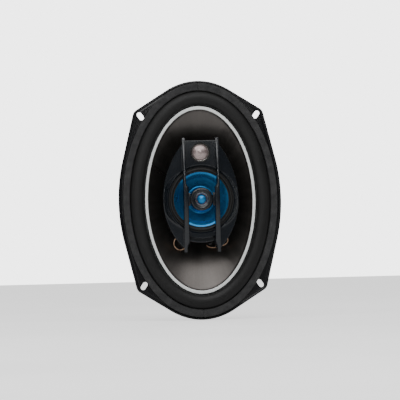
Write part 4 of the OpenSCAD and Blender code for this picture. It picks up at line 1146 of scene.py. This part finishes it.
lead("pod_lead_left_braid", "pod_lead_left", LEFT_ROUTE)
lead("pod_lead_right_braid", "pod_lead_right", RIGHT_ROUTE)
lead("rear_lead_positive_braid", "rear_lead_positive", REAR_ROUTE)
lead("rear_lead_negative_braid", "rear_lead_negative", REAR_ROUTE, -1)

# %% [markdown]
# Drops of black cement hold the lead ends on the cone. Each drop lies on the cone's slope, so it is
# drawn in a small frame of its own: two directions along the surface and one out of it. Its edge
# wanders and its top is lumpy, because it was dabbed on.

# %% Cement drops


def cone_share(x, y, steps=30):
    """The cone's share s at (x, y): halving the interval until (x/a)^2 + (y/b)^2 = 1, where a and
    b are the cone's half sizes at s."""
    low, high = np.zeros_like(x), np.ones_like(x)
    for _ in range(steps):
        mid = (low + high) / 2
        a = NECK_R + (cone_rim[0] - NECK_R) * mid
        b = NECK_R + (cone_rim[1] - NECK_R) * mid
        outside = (x / a) ** 2 + (y / b) ** 2 > 1
        low, high = np.where(outside, mid, low), np.where(outside, high, mid)
    return (low + high) / 2


def cement_drop(x, y, radius, rise, seed):
    """A drop's grid on the cone: height = rise times root(1 - q^2), q the share of the radius."""
    near = np.array([[x, y], [x + 0.5, y], [x - 0.5, y], [x, y + 0.5], [x, y - 0.5]])
    z = cone_height(cone_share(near[:, 0], near[:, 1]))
    normal = np.array([z[2] - z[1], z[4] - z[3], 1.0])
    normal /= np.linalg.norm(normal)
    along = np.cross([0, 1, 0], normal)
    along /= np.linalg.norm(along)
    over = np.cross(normal, along)
    a = round_angles(72)[None]
    q = np.sin(np.linspace(0.02, TAU / 4, 22))[::-1, None]
    edge_r = radius * (0.96 + 0.04 * wander(a, range(2, 9), seed))
    lump = 1 + 0.1 * wander(a * 1.0, range(2, 5), seed + 1) * q
    height = 0.25 + rise * 0.97 * np.sqrt(np.clip(1 - q ** 2, 0, 1)) * lump
    base = np.array([x, y, z[0]])
    grid = (base + (q * edge_r * np.cos(a))[..., None] * along
            + (q * edge_r * np.sin(a))[..., None] * over + height[..., None] * normal)
    floor = grid[:1] - (height[:1, :, None] - 0.22) * normal
    return tube_part(np.concatenate([floor, grid]))


drops = [cement_drop(-15.2, -47.5, 2.6, 1.5, 21), cement_drop(10.4, -42.6, 3.2, 1.9, 22)]
fit(build("cement_drops", drops, sharp=50), "lead_anchors")

# %% [markdown]
# ## What stays as it was
# The remaining CAD nodes already have the right shape: screws, rivets, terminals and the parts
# sealed inside. They only take their finishes.

# %% Finishes for the CAD nodes
for name, obj in frame["nodes"].items():
    obj.data.materials.clear()
    obj.data.materials.append(FINISHES[SLOTS[name]])
shown = [n for n, o in frame["nodes"].items() if not o.hide_render]
print("shown CAD nodes:", shown)

# %% [markdown]
# ## Light, floor and camera
# A glossy product is drawn by what it reflects. The world is white for the camera, and for
# reflections it is bright above and below and dimmer at the sides, as in a light tent. Three soft
# lights and a small one add the highlights on the fins and the domes.

# %% World
world = bpy.data.worlds.new("light_tent")
bpy.context.scene.world = world
world.use_nodes = True
tree = world.node_tree
background = tree.nodes["Background"]
where = node(tree, "ShaderNodeTexCoord")
parts = node(tree, "ShaderNodeSeparateXYZ", {0: where.outputs["Generated"]})
up_down = node(tree, "ShaderNodeMath", {0: parts.outputs["Z"]}, operation="ABSOLUTE")
tent = node(tree, "ShaderNodeMapRange", {"Value": up_down.outputs[0], "From Min": 0.15,
                                         "From Max": 0.9, "To Min": 0.1, "To Max": 0.75})
path = node(tree, "ShaderNodeLightPath")
seen = node(tree, "ShaderNodeMix", {0: path.outputs["Is Camera Ray"], 3: 4.0})
tree.links.new(tent.outputs["Result"], seen.inputs[2])
tree.links.new(seen.outputs[0], background.inputs["Strength"])
background.inputs["Color"].default_value = (1, 1, 1, 1)
print("world:", world.name)

# %% [markdown]
# The lights are rectangles aimed at the middle of the speaker. The floor is a pale sheet that stops
# just under the speaker, and it glows for the camera alone, so that it looks white and yet doesn't
# light the speaker from below.

# %% Lights and floor


def soft_light(name, place, size, power):
    """A rectangular area light of (width, height) at a place in metres, aimed at the middle."""
    data = bpy.data.lights.new(name, "AREA")
    data.shape = "RECTANGLE"
    data.size, data.size_y = size
    data.energy = power
    obj = bpy.data.objects.new(name, data)
    obj.location = place
    obj.rotation_mode = "QUATERNION"
    obj.rotation_quaternion = (-Vector(place)).to_track_quat("-Z", "Y")
    bpy.context.scene.collection.objects.link(obj)


soft_light("key_above", (-0.1, -1.0, 1.2), (2.4, 0.9), 12)
soft_light("front_above", (-0.15, -1.15, 0.6), (0.6, 0.2), 2.0)
soft_light("front_left", (-0.6, -1.2, 0.2), (0.12, 0.5), 0.7)
soft_light("front_spot", (0.1, -1.3, 0.33), (0.1, 0.1), 0.7)
floor_mesh = bpy.data.meshes.new("floor")
FLOOR_HALF, FLOOR_GAP = 6.0, 0.0002
floor_z = cad_box[0][2] - FLOOR_GAP
corners = [(-1, -1), (1, -1), (1, 1), (-1, 1)]
floor_mesh.from_pydata([(x * FLOOR_HALF, y * FLOOR_HALF, floor_z) for x, y in corners], [],
                       [(0, 1, 2, 3)])
floor = bpy.data.objects.new("floor", floor_mesh)
pale = finish("pale_floor", (0.86, 0.86, 0.86), (0.9, 0.9, 0.9), (0.34, 0.42), 6, 60, 0.02, 0.01)
glow = node(pale.node_tree, "ShaderNodeLightPath")
shader = pale.node_tree.nodes["Principled BSDF"]
shader.inputs["Emission Color"].default_value = (1, 1, 1, 1)
pale.node_tree.links.new(glow.outputs["Is Camera Ray"], shader.inputs["Emission Strength"])
floor.data.materials.append(pale)
bpy.context.scene.collection.objects.link(floor)
print("floor at", round(floor_z, 4), "m")

# %% [markdown]
# The camera stands far off with a long lens, a little to the left and a little below the middle,
# and is rolled slightly so that the speaker's top leans left.

# %% Camera
AZIMUTH, ELEVATION, ROLL = math.radians(-4.9), math.radians(-2.5), math.radians(-1.4)
DISTANCE, FIELD = 1.6, 0.4
camera_data = bpy.data.cameras.new("camera")
camera = bpy.data.objects.new("camera", camera_data)
bpy.context.scene.collection.objects.link(camera)
back = Vector((math.sin(AZIMUTH) * math.cos(ELEVATION), -math.cos(AZIMUTH) * math.cos(ELEVATION),
               math.sin(ELEVATION)))
camera.location = back * DISTANCE
camera.rotation_mode = "QUATERNION"
facing = (-back).to_track_quat("-Z", "Y")
camera.rotation_quaternion = facing @ Matrix.Rotation(ROLL, 3, "Z").to_quaternion()
camera_data.lens = camera_data.sensor_width * DISTANCE / FIELD
camera_data.clip_end = 50
bpy.context.scene.camera = camera
print("camera:", [round(v, 3) for v in camera.location], "lens", round(camera_data.lens))
